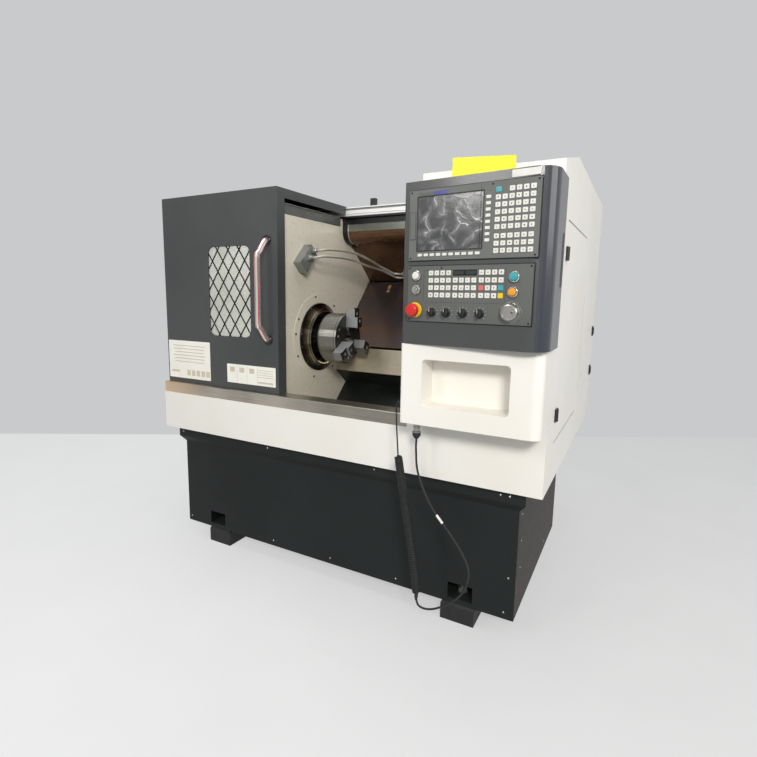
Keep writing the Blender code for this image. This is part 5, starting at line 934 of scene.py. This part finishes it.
def ticks(place, radius, reach, count, start, end, width):
    """Short bars round a knob: each one points out from the middle at its own angle."""
    x, y, z = at_panel(place)
    ends = (radius, radius + reach)
    return [ribbon([(x + math.cos(a) * r, y, z + math.sin(a) * r) for r in ends], width, OUT)
            for a in np.linspace(math.radians(start), math.radians(end), count)]


scale = [tick for place in KNOBS for tick in ticks(place, 0.0165, 0.003, 9, -45, 225, 0.0008)]
scale += ticks(DIAL, 0.0285, 0.0022, 40, 0, 351, 0.0006)
pendant_piece("knob_scales", scale, white_plastic)
for index, place in enumerate(KNOBS, start=1):
    x, y, z = at_panel(place)
    pointer = block((x - 0.0007, y - 0.01985, z + 0.002), (x + 0.0007, y - 0.0193, z + 0.0108))
    pendant_piece(f"knob_pointer_{index}", [pointer], white_plastic, f"knob_{index}")


def screw(place, normal, radius, height=0.0016):
    """A pan-head screw: a low dome with a round recess."""
    dome = [(0.0, radius), (0.35 * height, radius), (0.75 * height, 0.86 * radius), (height, 0.62 * radius),
            (height, 0.46 * radius), (0.4 * height, 0.42 * radius)]
    return revolved(dome, place, normal, 18)


def line_frame(low, high, width, proud=0.0):
    """Four thin lines round the rectangle between two corners."""
    (x0, y, z0), (x1, _, z1) = low, high
    y -= proud
    level = [ribbon([(x0, y, z), (x1, y, z)], width, OUT) for z in (z0, z1)]
    return level + [ribbon([(x, y, z0), (x, y, z1)], width, OUT) for x in (x0, x1)]


def slab_frame(x, z, back, front, crown=0.0, width=0.003):
    """Four narrow plates just outside a rectangle that is given by two x and two z values."""
    long, high, half = x[1] - x[0], z[1] - z[0], width / 2
    level = [slab(sum(x) / 2, height, long + 2 * width, width, 0.0008, back, front, crown)
             for height in (z[0] - half, z[1] + half)]
    return level + [slab(side, sum(z) / 2, width, high, 0.0008, back, front, crown)
                    for side in (x[0] - half, x[1] + half)]


heads = [at_unit((x, z)) for x in (0.007, 0.382) for z in (0.006, 0.198)] + [at_unit((0.258, 0.198))]
heads += [at_panel((x, z)) for x in (0.006, 0.375) for z in (0.006, 0.159)] + [at_panel((0.112, 0.159))]
pendant_piece("pendant_screws", [screw(head, OUT, 0.0027, 0.0011) for head in heads], black_steel, smooth=35)

flap = line_frame(at_unit((0.004, 0.062)), at_unit((0.022, 0.142)), 0.0008, 0.0012)
seam = ribbon([at_unit((0.225, 0.004)), at_unit((0.225, 0.200))], 0.0006, OUT)
border = line_frame(at_panel((0.055, 0.058)), at_panel((0.307, 0.152)), 0.0005)
pendant_piece("pendant_lines", [*flap, seam, *border], black_plastic)
gaps = slab_frame((0.021, 0.410), (0.254, 0.458), 0.0, -0.0006)
gaps += slab_frame((0.021, 0.402), (0.072, 0.237), 0.0, -0.0006)
pendant_piece("panel_gaps", gaps, black_plastic)
gasket = slab_frame((0.050, 0.253), (0.283, 0.437), PANEL_FACE, PANEL_FACE - 0.0006, 0.0002)
pendant_piece("screen_gasket", gasket, black_plastic)
led_x = MATRIX_X + 5.5 * MATRIX_STEP + 0.003 + 0.007
led_z = MATRIX_Z + 3 * MATRIX_RISE + 0.00675
pendant_piece("title_strip", [raised(0.123, 0.4455, 0.046, 0.0095, 0.001, 0.0005)], blue_strip)
pendant_piece("title_blank", [raised(0.076, 0.4455, 0.046, 0.0085, 0.001, 0.0004)], panel_grey)
pendant_piece("number_window", [raised(led_x, led_z, 0.072, 0.0165, 0.0015, 0.0010, 0.0, 0.0003)], black_steel)
numbers = [raised(led_x + aside, led_z, 0.0305, 0.0105, 0.001, 0.0013, 0.0009) for aside in (-0.018, 0.018)]
pendant_piece("number_window_rim", numbers, led_glass)
plate = slab(0.366, 0.4735, 0.076, 0.0190, 0.0010, 0.0, -0.0006, 0.0002)
pendant_piece("pendant_blank_plate", [plate], white_plastic)


# %% [markdown]
# ## Screws, bolts and seams on the body
# Small fasteners in rows: a row is a list of places with their outward directions.

# %% Fasteners
def add_screws(name, places, radius, height=0.0016, material=screw_steel, body="machine", normal=RIGHT_SIDE):
    """A row of screws as one piece."""
    add_piece(name, [screw(place, normal, radius, height) for place in places], material, body, 35)


def round_spindle(x, radius, angles):
    """Places on a circle round the spindle's axis."""
    return [(x, SPINDLE_Y + radius * math.cos(a), SPINDLE_Z + radius * math.sin(a)) for a in angles]


BASE_RIGHT = 1.625
row = [((x, 0.029, 0.520), OUT) for x in (0.080, 0.585, 1.095, 1.565, 1.595)]
row += [((x, 0.050, 0.096), OUT) for x in (0.093, 0.593, 0.887, 1.184, 1.591)] + [((1.601, 0.050, 0.225), OUT)]
row += [((BASE_RIGHT, y, z), RIGHT_SIDE)
        for y, z in ((0.100, 0.440), (0.108, 0.341), (0.110, 0.242), (0.620, 0.110), (0.620, 0.430))]
row += [((0.074, y, z), LEFT_SIDE) for y in (0.100, 0.450, 0.820) for z in (0.110, 0.430)]
add_piece("base_screws", [screw(place, normal, 0.0036) for place, normal in row], screw_steel, smooth=35)
seam = smooth_line([(BASE_RIGHT, y, z) for y, z in (
    (0.084, 0.462), (0.079, 0.430), (0.075, 0.340), (0.070, 0.200), (0.066, 0.074))], 0.02)
back_seam = [(BASE_RIGHT, 0.850, z) for z in np.linspace(0.462, 0.074, 8)]
base_seams = [ribbon(seam, 0.0030, RIGHT_SIDE), ribbon(back_seam, 0.0022, RIGHT_SIDE)]
add_piece("base_seams", base_seams, black_plastic)

BAY_HALF, BAY_INNER = 0.061, 0.0595
BAY_FRONT, BAY_BACK = 0.0565, 0.1720
BAY_FLOOR, BAY_ROOF, BAY_TOP = 0.0905, 0.1835, 0.185
bays = []
for middle in FOOT_X:
    start, end = middle - BAY_HALF, middle + BAY_HALF
    bays += [block((start, BAY_BACK, BAY_FLOOR), (end, 0.1735, BAY_TOP)),
             block((start, BAY_FRONT, BAY_ROOF), (end, BAY_BACK, BAY_TOP)),
             block((start, BAY_FRONT, BAY_FLOOR), (middle - BAY_INNER, BAY_BACK, BAY_ROOF)),
             block((middle + BAY_INNER, BAY_FRONT, BAY_FLOOR), (end, BAY_BACK, BAY_ROOF))]
add_piece("foot_bays", bays, black_plastic)

add_piece("wall_strip", [block((WALL_X + 0.0001, 0.086, 1.487), (WALL_X + 0.0014, 0.547, 1.5236))], strip_grey)
add_screws("wall_strip_screws", [(WALL_X + 0.0014, y, 1.508) for y in (0.2725, 0.336, 0.4807)], 0.0030)

RIM = [(0.0001, 0.1562), (0.0010, 0.1562), (0.0016, 0.1568), (0.0016, 0.1990), (0.0010, 0.1996),
       (0.0001, 0.1996)]
add_piece("flange_rim", [ring_of(RIM, (WALL_X, SPINDLE_Y, SPINDLE_Z), RIGHT_SIDE, 72)], beige, smooth=35)
angles = np.radians([49.0, 100.4, 151.8, 172.6, 203.2, 254.6, 306.0, 357.4])
add_screws("rim_bolts", round_spindle(WALL_X + 0.0014, 0.186, angles), 0.0050, 0.0032, black_plastic)
add_screws("ring_bolts", round_spindle(WALL_X + 0.0083, 0.152, angles + 0.35), 0.0022, 0.0020, chrome)
chuck_angles = np.radians([30.0, 150.0, 270.0, 50.0, 170.0, 290.0])
add_screws("chuck_bolts", round_spindle(0.775, 0.088, chuck_angles), 0.0052, body="spindle")
grooves = [ring_of([(h, 0.1121), (h, 0.1124), (h + 0.0012, 0.1124), (h + 0.0012, 0.1121)],
                   (0.676, SPINDLE_Y, SPINDLE_Z), RIGHT_SIDE, 64) for h in (0.0125, 0.0890)]
add_piece("chuck_grooves", grooves, black_steel, "spindle")

NUT = [(0.0402, 0.0125), (0.0412, 0.0135), (0.0500, 0.0135), (0.0512, 0.0122)]
SLEEVE = [(0.0512, 0.0090), (0.0570, 0.0090), (0.0578, 0.0082), (0.0655, 0.0078)]
nuts = [revolved(profile, (WALL_X, y, z), RIGHT_SIDE, sides)
        for y, z in ((0.2586, 1.3496), (0.2275, 1.3185)) for profile, sides in ((NUT, 6), (SLEEVE, 18))]
add_piece("hose_nuts", nuts, chrome, smooth=35)
corners = [(WALL_X + 0.040, 0.232 + dy, 1.315 + dz)
           for dy, dz in ((0.000, 0.052), (-0.012, -0.050), (-0.050, -0.012))]
add_screws("valve_screws", corners, 0.0030, 0.0020, black_steel)
on_cover = [(x, y - 0.0022, z) for x, y, z in ((0.869, 0.7243, 1.1016), (0.8754, 0.711, 1.0883),
                                               (0.9031, 0.6509, 1.0282), (0.9096, 0.6376, 1.015))]
add_screws("cover_screws", on_cover, 0.0036, 0.0002, body="cover_middle", normal=(0.0, -0.7071, 0.7071))

# %% Right side
LATCHES = (0.994, 0.793)
latches = [block((LENGTH + 0.0001, 1.255, z - 0.024), (LENGTH + 0.006, 1.285, z + 0.024)) for z in LATCHES]
latches += [block((LENGTH + 0.006, 1.262, z - 0.016), (LENGTH + 0.009, 1.278, z + 0.016)) for z in LATCHES]
# A thin black sheet on the pendant's side stands for the shade inside the vent slot.
vent = block((LENGTH + 0.01005, -0.020, 1.193), (LENGTH + 0.0106, 0.006, 1.345))
add_piece("pendant_vent", [vent], black_plastic)
add_piece("side_latches", latches, black_plastic)
add_screws("side_dots", [(LENGTH, 0.7403, 0.9548), (LENGTH, 0.8867, 0.8171)], 0.0032, 0.0010)
side_seam = [(LENGTH, 0.775, z) for z in np.linspace(1.1700, 0.7700, 12)]
add_piece("side_seam", [ribbon(side_seam, 0.0016, RIGHT_SIDE)], seam_grey)
door_seams = [ribbon([(LENGTH, y, z) for y in np.linspace(0.151, 0.699, 12)], 0.0022, RIGHT_SIDE)
              for z in (0.6858, 1.4034)]
add_piece("side_door_seams", door_seams, black_plastic)


# %% [markdown]
# ## Stage and light
# The floor is pale and catches the shadow. The camera sees a plain pale sky, and so do gloss and glass;
# other rays get a weaker one, which keeps the whites below clipping. A key lamp, a small front lamp and two
# large soft lamps do the rest.

# %% Floor
def seen_by_eye(tree):
    """1 for rays of the camera, of gloss and of glass, 0 for all others."""
    path = tree.nodes.new("ShaderNodeLightPath").outputs
    seen = calc(tree, "MAXIMUM", path["Is Camera Ray"], path["Is Glossy Ray"])
    return calc(tree, "MAXIMUM", seen, path["Is Transmission Ray"])


FAR = 14.0
FLOOR_Z = -0.0005
SKY = colour(201, 202, 203)
floor_mesh = bpy.data.meshes.new("studio floor")
corners = [(x * FAR, y * FAR, FLOOR_Z) for x, y in ((-1, -1), (1, -1), (1, 1), (-1, 1))]
floor_mesh.from_pydata(corners, [], [(0, 1, 2, 3)])
floor = into_scene("studio floor", floor_mesh)
floor_paint = bpy.data.materials.new("studio floor")
floor_paint.use_nodes = True
t = floor_paint.node_tree
shader = t.nodes["Principled BSDF"]
shader.inputs["Roughness"].default_value = 0.6
place = t.nodes.new("ShaderNodeTexCoord").outputs["Object"]
shade = mixed(t, spread(t, noise(t, place, 3.0, 4.0), 0.3, 0.7), colour(198, 198, 197), colour(192, 192, 191))
seen = seen_by_eye(t)
t.links.new(mixed(t, seen, colour(140, 140, 140), shade), shader.inputs["Base Color"])
far = calc(t, "ADD", part_of(t, place, "Y"), calc(t, "MULTIPLY", part_of(t, place, "X"), -0.5894))
past = calc(t, "MULTIPLY", seen, spread(t, far, 1.92, 1.95))
aside = calc_vector(t, "DOT_PRODUCT", place, (0.873, 0.4875, 0.0), out="Value")
strength = spread(t, aside, -1.2, 1.6, 1.10, 0.84)
glow = node(t, "Emission", {"Color": colour(250, 250, 250), "Strength": strength})
wall = node(t, "Emission", {"Color": SKY, "Strength": 1.0})
pale = node(t, "MixShader", {0: calc(t, "MULTIPLY", seen, 0.52), 1: shader.outputs["BSDF"],
                             2: glow.outputs["Emission"]})
ground = node(t, "MixShader", {0: past, 1: pale.outputs["Shader"], 2: wall.outputs["Emission"]})
t.links.new(ground.outputs["Shader"], t.nodes["Material Output"].inputs["Surface"])
floor_mesh.materials.append(floor_paint)

# %% Sky and lamps
world = bpy.data.worlds.new("studio")
bpy.context.scene.world = world
world.use_nodes = True
t = world.node_tree
t.nodes.clear()
plain = node(t, "Background", {"Color": SKY, "Strength": 1.0})
weak = node(t, "Background", {"Color": colour(236, 240, 246), "Strength": 0.55})
chosen = node(t, "MixShader", {0: seen_by_eye(t), 1: weak.outputs["Background"],
                               2: plain.outputs["Background"]})
node(t, "OutputWorld", {"Surface": chosen.outputs["Shader"]})


def lamp(name, spot, target, size, power, tint):
    """A rectangular soft lamp that looks from its spot to a target."""
    data = bpy.data.lights.new(name, "AREA")
    data.shape = "RECTANGLE"
    data.size, data.size_y = size
    data.energy = power
    data.color = tint
    stand_at(into_scene(name, data), *towards(np.subtract(spot, target)), spot)


lamp("key lamp", (2.35, -4.0, 2.75), (-0.1, -0.2, 0.95), (0.9, 0.7), 112.0, (1.0, 0.985, 0.96))
lamp("front lamp", (-0.8, -3.4, 2.4), (-0.15, -0.2, 0.95), (0.6, 0.9), 19.0, (1.0, 0.985, 0.96))
lamp("right lamp", (4.2, -0.6, 2.4), (0.3, 0.1, 0.8), (2.2, 1.8), 46.0, (1.0, 0.97, 0.92))
lamp("top lamp", (0.2, -0.4, 4.2), (0.1, 0.0, 0.6), (3.0, 2.4), 44.0, (1.0, 1.0, 1.0))
bpy.context.scene.view_settings.view_transform = "Standard"

# %% Finish
bpy.context.view_layer.update()
